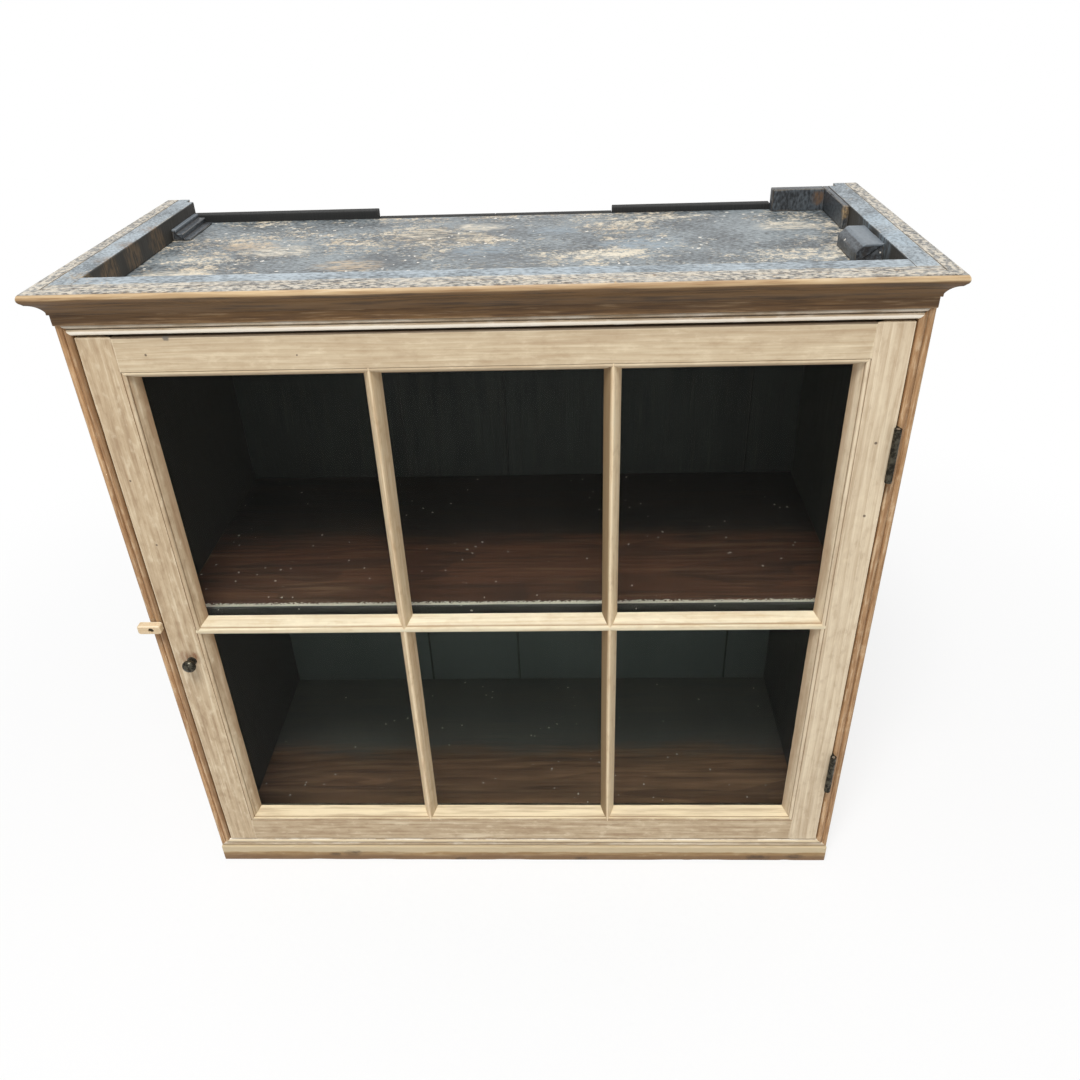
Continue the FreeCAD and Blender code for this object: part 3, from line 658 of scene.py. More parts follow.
        def layer(stretch: float, scale: float, detail: float) -> Socket:
            """Return noise drawn out along the fibres."""
            return graph.noise(graph.stretched(start.outputs["Vector"], stretch), scale, detail)

        patches, flakes = (0.8, 10.0, 6.0), (0.8, 90.0, 8.0)
        scratches, fine_flakes = (0.06, 240.0, 4.0), (0.7, 380.0, 5.0)
        softness, total = 0.08, 0.0
        for noise, weight in ((patches, 0.8), (flakes, 0.6), (scratches, 0.2), (fine_flakes, 0.7)):
            total = graph.math("MULTIPLY_ADD", layer(*noise), weight, total)
        middle = graph.span(start.outputs["Cover"], 0.0, 1.0, 1.45, 0.85)
        low, high = (graph.math(step, middle, softness) for step in ("SUBTRACT", "ADD"))
        chalk = graph.math("MULTIPLY_ADD", layer(0.7, 16.0, 6.0), 0.6, layer(0.5, 330.0, 6.0))
        graph.feed(end, {"Mask": graph.span(total, low, high), "Chalk": graph.span(chalk, 0.6, 1.0)})
        return graph.tree

    @staticmethod
    def _specks() -> bpy.types.NodeTree:
        """Return small scattered specks: the middles of cells, in patches, with uneven outlines.

        Returns:
            The group.
        """
        graph, start, end = new_group(
            "specks", {"Vector": "Vector", "Scale": "Float", "Size": "Float"}, ("Mask",))
        given = start.outputs
        warp = graph.add("ShaderNodeTexNoise", {"Vector": given["Vector"], "Scale": 300.0, "Detail": 2.0})
        shift = graph.stretched(warp.outputs["Color"], 4 * MM, 4 * MM)
        cell = graph.add("ShaderNodeTexVoronoi", {
            "Vector": graph.vector("ADD", given["Vector"], shift), "Scale": given["Scale"], "Randomness": 1.0})
        patchy = graph.span(graph.noise(given["Vector"], 14.0, 3.0), 0.4, 0.6)
        edge = graph.math("MULTIPLY", given["Size"], patchy)
        graph.feed(end, {"Mask": graph.math("LESS_THAN", cell.outputs["Distance"], edge)})
        return graph.tree


EFFECTS = Effects()


class Surface(Graph):
    """The graph of one material."""

    def __init__(self, name: str) -> None:
        """Start an empty material.

        Args:
            name: Name of the material.
        """
        self.material = bpy.data.materials.new(name)
        self.material.use_nodes = True
        super().__init__(self.material.node_tree)
        self.tree.nodes.clear()
        self.place = self.add("ShaderNodeTexCoord", {}).outputs["Object"]

    def kept(self, name: str) -> Socket:
        """Return the value of this name that the piece keeps on its points."""
        return self.add("ShaderNodeAttribute", {}, attribute_name=name).outputs["Fac"]

    def patches(self, place: Value, scale: float, cover: float, softness: float) -> Socket:
        """Return cloudy patches that cover about a share of the surface."""
        sockets = {"Vector": place, "Scale": scale, "Cover": cover, "Softness": softness}
        return self.group(EFFECTS.blotch, sockets)[0]

    def relief(self, height: Socket, strength: float, distance: float) -> Socket:
        """Return the normal that a relief gives."""
        return self.add("ShaderNodeBump", {"Height": height, "Strength": strength, "Distance": distance}).outputs[0]

    def put_on(self, piece: Piece, sockets: Sockets) -> None:
        """Finish the material and put it on a piece.

        Args:
            piece: The piece.
            sockets: Inputs of its surface shader.
        """
        shader = self.add("ShaderNodeBsdfPrincipled", sockets)
        self.add("ShaderNodeOutputMaterial", {"Surface": shader.outputs[0]})
        piece.data.materials.clear()
        piece.data.materials.append(self.material)


@dataclass(frozen=True)
class SoilAndShade:
    """A colour that deepens along one axis, from a clean place to a dirty one: dirt and bleaching, and in places
    painted shade and painted highlights.
    """

    axis: Grain
    clean: float
    dirty: float
    colour: Colour
    strength: float = 0.8
    scale: float = 30.0
    ragged: float = 0.25
    streaked: float = 0.0
    drawn: float = 0.25


@dataclass(frozen=True)
class Mark:
    """A stain, a nail hole or a bare patch round one place."""

    place: tuple[float, float, float]
    radius: float
    colour: Colour
    strength: float = 0.8
    broken: float = 0.0
    drawn: float = 1.0


@dataclass(frozen=True)
class Cut:
    """One piece's own cut of the wood: a point's place, as it is and along the fibres, and the grain and wear there."""

    parts: bpy.types.NodeOutputs
    turned: Socket
    grown: bpy.types.NodeOutputs
    worn: Socket


@dataclass(frozen=True)
class WoodFinish:
    """Old pine: grain, knots, stains, rubbed edges, grime and painted shade in the hollows and, where it has any, worn
    paint and dust.
    """

    slot: str
    early: Colour
    late: Colour
    stain: Colour
    rubbed: Colour
    # grime: colour of dirt, also laid as painted shade in the hollows and in streaked layers
    grime: Colour
    knot: Colour = shade(104, 66, 38)
    ring: float = 6 * MM
    ring_share: float = 0.55
    stain_cover: float = 0.35
    stain_share: float = 0.5
    streak_share: float = 0.4
    streaks: float = 190.0
    mottle: float = 0.0
    knot_share: float = 0.75
    # Share of grime laid in the quirks and inner corners: partly real grime, partly painted shade where they lie in
    # shade
    hollow_grime_and_shade: float = 0.8
    fibre_share: float = 0.3
    vein_share: float = 0.55
    rub_width: float = 2.5 * MM
    rub_share: float = 0.6
    paint: Colour = shade(24, 24, 26)
    # paint_sheen: the pale chalky tone of the worn paint, which also stands in for the blue-grey sheen of light on it:
    # partly a painted sheen
    paint_sheen: Colour = shade(84, 88, 94)
    paint_cover: float = 0.0
    paint_from: float = -1.0
    dust: Colour = shade(214, 206, 190)
    dust_size: float = 0.0
    gloss: tuple[float, float] = (0.5, 0.72)
    relief: float = 0.25
    relief_depth: float = 0.6 * MM
    paint_rough: float = 0.42
    paint_rub: float = 0.3

    def dress(
        self, piece: Piece, grain: Grain, soils_and_shade: Sequence[SoilAndShade] = (), marks: Sequence[Mark] = (),
    ) -> None:
        """Give a piece its own cut of this wood.

        Args:
            piece: The piece.
            grain: Which way its fibres run.
            soils_and_shade: Dirt, bleaching, painted shade and painted highlights that deepen along it.
            marks: Stains, holes and bare patches on it.
        """
        graph = Surface(f"{self.slot}_{piece.name}")
        random = np.random.default_rng(zlib.crc32(piece.name.encode()))
        cut = self._cut(graph, piece, grain, random)
        colour = self._bare(graph, cut, random.uniform(*TINTS))
        rough = graph.span(cut.grown["Fibre"], 0.2, 0.8, *self.gloss)
        height = graph.math("MULTIPLY_ADD", cut.grown["Rings"], -0.5, cut.grown["Fibre"])
        if self.paint_cover:
            mask, coat = self._paint(graph, cut)
            colour = graph.mix(mask, colour, coat)
            rough = graph.add("ShaderNodeMix", {0: mask, 2: rough, 3: self.paint_rough}).outputs[0]
            height = graph.math("ADD", height, mask)
        for share, tone in self._dirt_and_shade(graph, cut, soils_and_shade) + self._spots(graph, cut, grain, marks):
            colour = graph.mix(share, colour, tone)
        graph.put_on(piece, {
            "Base Color": colour, "Roughness": rough,
            "Normal": graph.relief(height, self.relief, self.relief_depth)})

    def _cut(self, graph: Surface, piece: Piece, grain: Grain, random: np.random.Generator) -> Cut:
        """Turn places so that the fibres run along the first axis, and move them to a spot of the tree of their own.

        Args:
            graph: Graph of the material.
            piece: The piece.
            grain: Which way its fibres run.
            random: The piece's generator.

        Returns:
            The cut.
        """
        parts = graph.add("ShaderNodeSeparateXYZ", {0: graph.place}).outputs
        order = [parts[(grain.value + step) % 3] for step in range(3)]
        turned = graph.add("ShaderNodeCombineXYZ", dict(enumerate(order))).outputs[0]
        nearest, farthest = (-4, 0.05, 0.03), (4, 0.11, 0.09)
        turned = graph.vector("ADD", turned, tuple(random.uniform(nearest, farthest)))
        grown = graph.group(EFFECTS.grain, {
            "Vector": turned, "Ring Width": self.ring * random.uniform(*RING_WIDTHS), "Band Scale": self.streaks})
        return Cut(parts, turned, grown, self._edges(graph, piece))

    def _bare(self, graph: Surface, cut: Cut, tint: float) -> Socket:
        """Lay late wood, fibres, stains, knots, streaks and rubbed edges over the early wood, one after the other.

        Args:
            graph: Graph of the material.
            cut: The cut of the wood.
            tint: How bright this piece is.

        Returns:
            Colour of the bare wood.
        """
        early, late = (tuple(part * tint for part in tone[:3]) + (1.0,) for tone in (self.early, self.late))
        grown = cut.grown
        stained = graph.patches(
            graph.stretched(cut.turned, 0.12), scale=22.0, cover=self.stain_cover, softness=0.14)
        layers = [
            (graph.math("MULTIPLY", grown["Rings"], self.ring_share), late),
            (graph.span(grown["Fibre"], 0.3, 0.7, 0.0, self.fibre_share), late),
            (graph.span(grown["Stains"], 0.5, 0.75, 0.0, self.vein_share), self.stain),
            (graph.math("MULTIPLY", grown["Knot"], self.knot_share), self.knot),
            (graph.span(grown["Bands"], 0.5, 0.7, 0.0, self.streak_share), self.stain),
            (graph.span(grown["Bands"], 0.3, 0.48, self.streak_share, 0.0), self.rubbed),
            (graph.math("MULTIPLY", stained, self.stain_share), self.stain),
        ]
        if self.mottle:
            layers.append((graph.span(grown["Clouds"], 0.5, 0.72, 0.0, self.mottle), self.stain))
            layers.append((graph.span(grown["Clouds"], 0.28, 0.48, self.mottle, 0.0), self.rubbed))
        layers.append((graph.math("MULTIPLY", cut.worn, self.rub_share), self.rubbed))
        colour = early
        for share, tone in layers:
            colour = graph.mix(share, colour, tone)
        return colour

    def _edges(self, graph: Surface, piece: Piece) -> Socket:
        """Return where edges are rubbed: near the edges of the piece's box, and at its own rounded corners.

        Args:
            graph: Graph of the material.
            piece: The piece.

        Returns:
            The mask.
        """
        corners = np.array(piece.bound_box)
        box = graph.group(EFFECTS.wear, {
            "Vector": graph.place, "Low": tuple(corners.min(axis=0)), "High": tuple(corners.max(axis=0)),
            "Width": self.rub_width})
        broken = graph.span(graph.noise(graph.place, 24.0, 8.0), 0.35, 0.75)
        return graph.math("MAXIMUM", box[0], graph.math("MULTIPLY", graph.kept("rubbed"), broken))

    def _paint(self, graph: Surface, cut: Cut) -> tuple[Socket, Socket]:
        """Return where worn paint is left above its lower edge, and its colour.

        Args:
            graph: Graph of the material.
            cut: The cut of the wood.

        Returns:
            Mask and colour.
        """
        flakes = graph.group(EFFECTS.flakes, {"Vector": cut.turned, "Cover": self.paint_cover})
        unrubbed = graph.math("MULTIPLY_ADD", cut.worn, -self.paint_rub, 1.0)
        above = graph.span(cut.parts[Grain.UP.value], self.paint_from - 1 * MM, self.paint_from)
        mask = graph.math("MULTIPLY", graph.math("MULTIPLY", flakes["Mask"], unrubbed), above)
        return mask, graph.mix(flakes["Chalk"], self.paint, self.paint_sheen)

    def _dirt_and_shade(self, graph: Surface, cut: Cut, soils_and_shade: Sequence[SoilAndShade]) -> list[Layer]:
        """List the dirt, bleaching, painted shade and painted highlights that deepen along the piece, and the grime and
        painted shade in its hollows.

        Args:
            graph: Graph of the material.
            cut: The cut of the wood.
            soils_and_shade: The dirt, bleaching, painted shade and painted highlights.

        Returns:
            Share and colour of each.
        """
        layers = []
        for soil in soils_and_shade:
            share = graph.group(EFFECTS.soil, {
                "Vector": cut.turned, "Along": cut.parts[soil.axis.value], "Clean": soil.clean, "Dirty": soil.dirty,
                "Strength": soil.strength, "Scale": soil.scale, "Ragged": soil.ragged, "Stretch": soil.drawn})
            streaks = graph.span(cut.grown["Bands"], 0.42, 0.64, 0.0, soil.streaked)
            layers.append((share[0], graph.mix(streaks, soil.colour, self.grime)))
        return layers + [(graph.math("MULTIPLY", graph.kept("hollow"), self.hollow_grime_and_shade), self.grime)]

    def _spots(self, graph: Surface, cut: Cut, grain: Grain, marks: Sequence[Mark]) -> list[Layer]:
        """List the marks and the dust.

        Args:
            graph: Graph of the material.
            cut: The cut of the wood.
            grain: Which way the fibres run.
            marks: Stains, holes and bare patches.

        Returns:
            Share and colour of each.
        """
        layers = []
        for mark in marks:
            share = graph.group(EFFECTS.spot, {
                "Vector": graph.place, "Centre": mark.place, "Radius": mark.radius, "Strength": mark.strength,
                "Stretch": tuple(mark.drawn if axis is grain else 1.0 for axis in Grain), "Broken": mark.broken,
                "Crumbs": cut.grown["Crumbs"]})
            layers.append((share[0], mark.colour))
        if self.dust_size:
            specks = graph.group(EFFECTS.specks, {"Vector": graph.place, "Scale": 70.0, "Size": self.dust_size})
            layers.append((specks[0], self.dust))
        return layers


@dataclass(frozen=True)
class MetalFinish:
    """Iron or steel: a worn bright metal under patches of old dirt and of rust."""

    slot: str
    bright: Colour
    dull: Colour
    rust: Colour
    cover: float = 0.5
    rust_cover: float = 0.3
    mottle: float = 0.4
    gloss: tuple[float, float] = (0.32, 0.7)
    metallic: float = 0.8

    def dress(self, piece: Piece) -> None:
        """Give a piece this metal.

        Args:
            piece: The piece.
        """
        graph = Surface(f"{self.slot}_{piece.name}")
        mottle = graph.span(graph.noise(graph.place, 420.0, 6.0), 0.3, 0.7)
        dirty = graph.patches(graph.place, scale=160.0, cover=self.cover, softness=0.08)
        rusty = graph.patches(graph.place, scale=240.0, cover=self.rust_cover, softness=0.06)
        colour = graph.mix(graph.math("MULTIPLY", mottle, self.mottle), self.bright, self.dull)
        colour = graph.mix(rusty, graph.mix(dirty, colour, self.dull), self.rust)
        rough = graph.span(graph.math("MAXIMUM", dirty, rusty), 0.0, 1.0, *self.gloss)
        graph.put_on(piece, {
            "Base Color": colour, "Roughness": rough, "Metallic": self.metallic,
            "Normal": graph.relief(mottle, strength=0.3, distance=0.2 * MM)})


@dataclass(frozen=True)
class GlassFinish:
    """Old window glass: clear, a little uneven, with faint smears."""

    slot: str
    clear: Colour
    smear: Colour
    index: float = 1.1
    smear_share: float = 0.5
    gloss: tuple[float, float] = (0.01, 0.05)

    def dress(self, piece: Piece) -> None:
        """Give a pane this glass.

        Args:
            piece: The pane.
        """
        graph = Surface(f"{self.slot}_{piece.name}")
        hanging = graph.vector("MULTIPLY", graph.place, (1.0, 1.0, 0.4))
        smears = graph.patches(hanging, scale=11.0, cover=0.4, softness=0.2)
        drawn = graph.noise(graph.vector("MULTIPLY", graph.place, (1.0, 1.0, 0.35)), 7.0, 1.0)
        graph.put_on(piece, {
            "Base Color": graph.mix(graph.math("MULTIPLY", smears, self.smear_share), self.clear, self.smear),
            "Roughness": graph.span(smears, 0.0, 1.0, *self.gloss), "IOR": self.index, "Transmission Weight": 1.0,
            "Normal": graph.relief(drawn, strength=0.05, distance=1 * MM)})


@dataclass(frozen=True)
class PuttyFinish:
    """Hard old putty: pale, grimy and finely cracked."""

    slot: str
    pale: Colour
    grimy: Colour
    cracks: float = 60.0
    crack_width: float = 0.06
    gloss: tuple[float, float] = (0.65, 0.9)

    def dress(self, piece: Piece) -> None:
        """Give a piece this putty.

        Args:
            piece: The piece.
        """
        graph = Surface(f"{self.slot}_{piece.name}")
        cell = graph.add(
            "ShaderNodeTexVoronoi", {"Vector": graph.place, "Scale": self.cracks}, feature="DISTANCE_TO_EDGE")
        crack = graph.span(cell.outputs["Distance"], 0.0, self.crack_width, 1.0, 0.0)
        dirt = graph.patches(graph.place, scale=35.0, cover=0.5, softness=0.15)
        grime = graph.math("MAXIMUM", crack, graph.math("MULTIPLY", dirt, 0.7))
        height = graph.math("SUBTRACT", graph.noise(graph.place, 180.0), crack)
        graph.put_on(piece, {
            "Base Color": graph.mix(grime, self.pale, self.grimy),
            "Roughness": graph.span(dirt, 0.0, 1.0, *self.gloss),
            "Normal": graph.relief(height, strength=0.4, distance=0.5 * MM)})


# The finishes of this cabinet

DARK = shade(30, 30, 28)
# Pale cream painted on the crest of the bottom bead, a painted highlight, and on the bottom rail's sticking, partly its
# own colour and partly painted light
CREAM = shade(226, 208, 170)
CHALK = shade(204, 194, 176)
STRIPPED = WoodFinish(
    "stripped_pine", early=shade(211, 193, 164), late=shade(172, 146, 114), stain=shade(162, 135, 104),
    rubbed=shade(228, 212, 182), grime=shade(126, 92, 58), ring=8 * MM, ring_share=0.42, rub_share=0.4,
    stain_share=0.35, mottle=0.35, knot_share=0.2, hollow_grime_and_shade=0.7)
DULL = replace(STRIPPED, early=shade(200, 179, 147), stain=shade(146, 117, 86), streak_share=0.65, mottle=0.5)
BAR = replace(
    STRIPPED, early=shade(238, 218, 182), late=shade(192, 158, 116), stain=shade(168, 130, 90), hollow_grime_and_shade=0.6)
# Paler than the stiles: partly the level bar's own colour, partly painted light for its top flank lit from above
SILL = replace(
    STRIPPED, early=shade(225, 215, 186), late=shade(196, 172, 136), stain=shade(188, 160, 120), stain_share=0.3,
    rubbed=shade(236, 222, 190), grime=shade(142, 106, 68))
BEAD = WoodFinish(
    "bead_pine", early=shade(198, 158, 114), late=shade(150, 108, 66), stain=shade(126, 88, 52),
    rubbed=shade(224, 200, 164), grime=shade(76, 52, 32), stain_cover=0.45, rub_share=0.75, hollow_grime_and_shade=0.35,
    streaks=520.0, streak_share=0.75, mottle=0.4)
PALE_BEAD = replace(
    BEAD, early=shade(220, 206, 182), late=shade(178, 154, 122), stain=shade(158, 132, 100),
    rubbed=shade(244, 237, 222), grime=shade(56, 42, 28), rub_share=0.85, hollow_grime_and_shade=0.9)
BROWN = WoodFinish(
    "brown_pine", early=shade(130, 95, 52), late=shade(78, 50, 22), stain=shade(60, 39, 18),
    rubbed=shade(176, 146, 108), grime=shade(40, 28, 18), stain_cover=0.5, rub_share=0.4, streak_share=0.65,
    streaks=420.0)
INSIDE = WoodFinish(
    "dark_pine", early=shade(114, 74, 52), late=shade(60, 38, 28), stain=shade(40, 28, 22),
    rubbed=shade(134, 104, 78), grime=shade(24, 18, 15), stain_cover=0.5, dust_size=0.1, gloss=(0.5, 0.75),
    streaks=120.0, streak_share=0.6)
FLOOR_BOARD = replace(
    INSIDE, early=shade(152, 113, 83), late=shade(86, 60, 44), stain=shade(56, 41, 31), rubbed=shade(164, 128, 95))
BACKING = WoodFinish(
    "dark_pine", early=shade(44, 47, 44), late=shade(33, 35, 33), stain=shade(27, 29, 27),
    rubbed=shade(84, 80, 72), grime=shade(20, 19, 18), stain_cover=0.5, gloss=(0.65, 0.9), streak_share=0.2,
    rub_share=0.12)
BLACKED = WoodFinish(
    "dark_pine", early=shade(220, 212, 194), late=shade(196, 180, 154), stain=shade(182, 160, 130),
    rubbed=shade(222, 214, 198), grime=shade(30, 26, 24), paint=shade(50, 54, 57), paint_sheen=shade(138, 146, 149),
    paint_cover=0.62, rub_share=0.3, stain_cover=0.4, dust=shade(226, 220, 208), dust_size=0.15)
RAIL_TOP = replace(
    STRIPPED, ring_share=0.55, mottle=0.12, paint=shade(70, 78, 83), paint_sheen=shade(162, 173, 180), paint_cover=0.8)
STRIP_PAINT, STRIP_CHALK = shade(56, 54, 52), shade(160, 158, 152)
BLACK_BLOCK = replace(
    BLACKED, early=shade(122, 98, 74), late=shade(84, 64, 48), stain=shade(60, 50, 42), rubbed=shade(160, 150, 134),
    paint=shade(32, 34, 37), paint_sheen=shade(84, 90, 95), paint_cover=0.85, rub_share=0.7)
BUTTON = WoodFinish(
    "pale_pine", early=shade(226, 206, 172), late=shade(190, 158, 116), stain=shade(196, 168, 130),
    rubbed=shade(240, 226, 198), grime=shade(60, 44, 30), ring=3 * MM)
IRON = MetalFinish("dark_iron", bright=shade(84, 80, 68), dull=shade(40, 37, 30), rust=shade(64, 46, 32))
STEEL = MetalFinish(
    "worn_steel", bright=shade(196, 192, 182), dull=shade(120, 114, 104), rust=shade(104, 82, 62), cover=0.3)
GLASS = GlassFinish("pane_glass", clear=shade(244, 248, 245), smear=shade(222, 228, 224))
PUTTY = PuttyFinish("old_putty", pale=shade(116, 108, 92), grimy=shade(52, 46, 38))


def fit(
    piece: Piece, node: str, body: str, finish: WoodFinish | MetalFinish, *dressing: Grain | Sequence[SoilAndShade | Mark],
) -> None:
    """Dress a piece and put it in the place of the solid it stands for.

    Args:
        piece: The piece.
        node: Solid that it replaces.
        body: Body it moves with.
        finish: What it is made of.
        dressing: What else its finish asks for: grain, soils_and_shade and marks of wood.
    """
    finish.dress(piece, *dressing)
    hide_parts(node)
    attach(piece, body)
    LOG.info("%s rides on %s in place of %s", piece.name, body, node)


def keep(node: str, finish: MetalFinish | GlassFinish | PuttyFinish) -> None:
    """Dress a solid that is shown as it is.

    Args:
        node: The solid.
        finish: What it is made of.
    """
    finish.dress(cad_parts[node])
    LOG.info("%s stays and is of %s", node, finish.slot)


@dataclass(frozen=True)
class Face:
    """The planes and lines of the front that the mouldings follow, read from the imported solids."""

    front: float
    back: float
    half: float
    top: float
    opening: tuple[float, float, float]
    door: tuple[float, float, float]

    @classmethod
    def read(cls) -> "Face":
        """Read the front off the boxes of the sides, the beads and the door.

        Returns:
            The front.
        """
        side_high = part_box("right_side")[1]
        bead_low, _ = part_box("bead_right")
        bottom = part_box("bead_bottom")[1][2]
        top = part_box("bead_top")[0][2]
        door_low, door_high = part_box("door_right_stile")
        return cls(
            front=bead_low[1], back=side_high[1], half=side_high[0], top=side_high[2],
            opening=(bead_low[0], bottom, top), door=(door_high[0], door_low[2], door_high[2]))

    def chalk(self) -> SoilAndShade:
        """Return the pale crumbs of old paint that lie along the top of the front."""
        return SoilAndShade(
            Grain.UP, clean=self.top - 1.5 * MM, dirty=self.top + 1.5 * MM, colour=CHALK, scale=260.0, ragged=1.0,
            drawn=0.6)


@dataclass(frozen=True)
class Carcass:
    """Sides, rails, boards, shelf and back."""

    shaped: tuple[str, ...] = ("left_side", "right_side", "top_rail", "bottom_rail")
    edge: float = 1.2 * MM
    shortest_eased: float = 120 * MM
    chip: float = 0.7 * MM
    base_chip: float = 2.4 * MM
    floor_dirt: float = 22 * MM
    lining: float = 1.5 * MM
    lining_share: float = 0.97
    crumbs: float = 14 * MM
    dim_from: float = 0.3
    dim_to: float = 0.65
    seam: float = 3 * MM
    floor_stain: Colour = shade(112, 82, 54)
    bare_base: Colour = shade(204, 188, 156)
    crumb: Colour = shade(228, 220, 204)
    # Dim grey painted over the rear of the bottom board: painted shade, lightened to stand in for the glass's
    # reflection of the floor over the lower panes
    bottom_rear_shade_and_reflection: Colour = shade(86, 92, 87)
    # Near black painted over the rear of the shelf: painted shadow where the light through the upper panes does not
    # reach
    shelf_rear_shadow: Colour = shade(33, 33, 30)
    # Near black painted over the back boards above the shelf: painted shade
    upper_back_shade: Colour = shade(12, 12, 11)
    # Pale grey painted over the back boards below the shelf: a painted reflection of the floor in the lower panes
    lower_back_reflection: Colour = shade(88, 96, 92)
    weather: Colour = shade(98, 86, 72)

    def build(self, face: Face) -> None:
        """Build and dress every board.

        Args:
            face: Lines of the front.
        """
        floor = SoilAndShade(Grain.UP, clean=self.floor_dirt, dirty=0.0, colour=self.floor_stain)
        self._frame(face, floor)
        self._front(face, floor)
        self._board("top_board", Grain.ACROSS, BLACKED, (), self._top_marks())
        self._inside()
        self._back(face)

    def _frame(self, face: Face, floor: SoilAndShade) -> None:
        """Build the sides and rails, with worn paint on top and black inside.

        Args:
            face: Lines of the front.
            floor: Dirt near the floor.
        """
        painted = replace(RAIL_TOP, paint_from=face.top - 1 * MM)
        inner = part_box("right_side")[0][0]
        for node, sign in (("left_side", -1), ("right_side", 1)):
            lining = SoilAndShade(Grain.ACROSS, sign * (inner + self.lining), sign * inner, DARK, self.lining_share)
            self._board(node, Grain.UP, painted, (floor, lining), self._side_marks(node, inner, face))
        for node in ("top_rail", "bottom_rail"):
            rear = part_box(node)[1][1]
            lining = SoilAndShade(Grain.BACK, rear - self.lining, rear, DARK, self.lining_share)
            self._board(node, Grain.ACROSS, painted, (lining,))

    def _front(self, face: Face, floor: SoilAndShade) -> None:
        """Build the frieze board and the base board.

        Args:
            face: Lines of the front.
            floor: Dirt near the floor.
        """
        frieze = replace(
            BROWN, slot="stripped_pine", paint=STRIP_PAINT, paint_sheen=STRIP_CHALK, paint_cover=0.7,
            paint_from=face.top - 1 * MM)
        self._board("frieze_board", Grain.ACROSS, frieze, (face.chalk(),))
        base = replace(
            STRIPPED, early=shade(172, 142, 97), late=shade(132, 100, 59), stain=shade(118, 88, 52),
            rubbed=shade(206, 186, 150))
        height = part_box("base_board")[1][2]
        bare = SoilAndShade(
            Grain.UP, clean=0.45 * height, dirty=0.75 * height, colour=self.bare_base, strength=0.75, scale=80.0,
            ragged=0.4)
        self._board("base_board", Grain.ACROSS, base, (floor, bare), self._base_marks())

    def _inside(self) -> None:
        """Build the bottom board, and the shelf with its bearers and the crumbs along its front."""
        self._board("bottom_board", Grain.ACROSS, FLOOR_BOARD, (self._painted_rear("bottom_board", self.bottom_rear_shade_and_reflection),))
        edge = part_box("shelf")[0][1]
        crumbs = SoilAndShade(
            Grain.BACK, clean=edge + self.crumbs, dirty=edge + 0.2 * self.crumbs, colour=self.crumb, strength=0.95,
            scale=420.0, ragged=1.2, drawn=0.8)
        # Dark band over the front edge and front face of the shelf, below the pale crumbs: a painted shadow
        shelf_edge_shadow = SoilAndShade(
            Grain.BACK, clean=edge + 0.25 * self.crumbs, dirty=edge + 0.15 * self.crumbs, colour=DARK, strength=0.95,
            scale=120.0)
        self._board("shelf", Grain.ACROSS, INSIDE, (self._painted_rear("shelf", self.shelf_rear_shadow), crumbs, shelf_edge_shadow))
        for node in ("shelf_bearer_left", "shelf_bearer_right"):
            self._board(node, Grain.BACK, INSIDE)

    def _back(self, face: Face) -> None:
        """Build the back boards: painted shade above the shelf, a paler painted reflection below it, weathered behind,
        with black seams.

        Args:
            face: Lines of the front.
        """
        rear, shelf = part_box("back_board_1")[1][1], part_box("shelf")[0][2]
        along = (
            SoilAndShade(Grain.UP, clean=shelf, dirty=face.top, colour=self.upper_back_shade, strength=0.9),
            SoilAndShade(Grain.UP, clean=shelf, dirty=0.6 * shelf, colour=self.lower_back_reflection, strength=0.85),
            SoilAndShade(Grain.BACK, rear - 3 * MM, rear - 1 * MM, self.weather, strength=0.7, streaked=0.6))
        for node in sorted(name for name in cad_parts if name.startswith("back_board")):
            left, right = (corner[0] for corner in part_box(node))
            seams = tuple(
                SoilAndShade(Grain.ACROSS, clean, dirty, DARK, strength=0.85, ragged=0.1)
                for clean, dirty in ((left + self.seam, left), (right - self.seam, right)))
            self._board(node, Grain.UP, BACKING, along + seams)

    def _painted_rear(self, node: str, colour: Colour) -> SoilAndShade:
        """Return the colour painted over the rear of a board inside, which stands in for the shade there where the
        light through the panes does not reach.

        Args:
            node: The solid of the board.
            colour: The painted colour.

        Returns:
            The painted rear.
        """
        near, far = (corner[1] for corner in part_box(node))
        clean, dirty = (near + share * (far - near) for share in (self.dim_from, self.dim_to))
        return SoilAndShade(Grain.BACK, clean, dirty, colour, strength=0.85, ragged=0.2)

    @staticmethod
    def _side_marks(node: str, inner: float, face: Face) -> list[Mark]:
        """List the worn patches above the top board: bare ones inside the left side, blue ones on the right side.

        Args:
            node: The solid of the side.
            inner: Distance of its inner face from the middle.
            face: Lines of the front.

        Returns:
            Its marks.
        """
        tan, brown, blue = shade(184, 160, 124), shade(116, 94, 68), shade(160, 176, 187)
        across, spots = {
            "left_side": (-inner, (
                (0.1, 20, 26, tan), (0.26, 16, 26, brown), (0.42, 12, 24, brown), (0.6, 16, 26, brown))),
            "right_side": (face.half, ((0.3, 0, 36, blue), (0.5, 0, 36, blue))),
        }[node]
        deep = face.back - face.front
        return [
            Mark((across, face.front + back * deep, face.top - down * MM), radius * MM, colour, broken=0.9)
            for back, down, radius, colour in spots]

    @staticmethod
    def _base_marks() -> list[Mark]:
        """Place the knot and the dark spots low on the base board.

        Returns:
            The marks.
        """
        low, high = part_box("base_board")
        spots = ((-0.56, 0.52, 7), (-0.62, 0.42, 4), (0.2, 0.12, 5), (0.78, 0.16, 8), (0.9, 0.3, 6), (-0.2, 0.1, 4))
        return [
            Mark(
                (across * high[0], low[1], low[2] + up * (high[2] - low[2])), radius * MM, shade(70, 52, 34),
                strength=0.75, broken=0.6, drawn=0.4)
            for across, up, radius in spots]

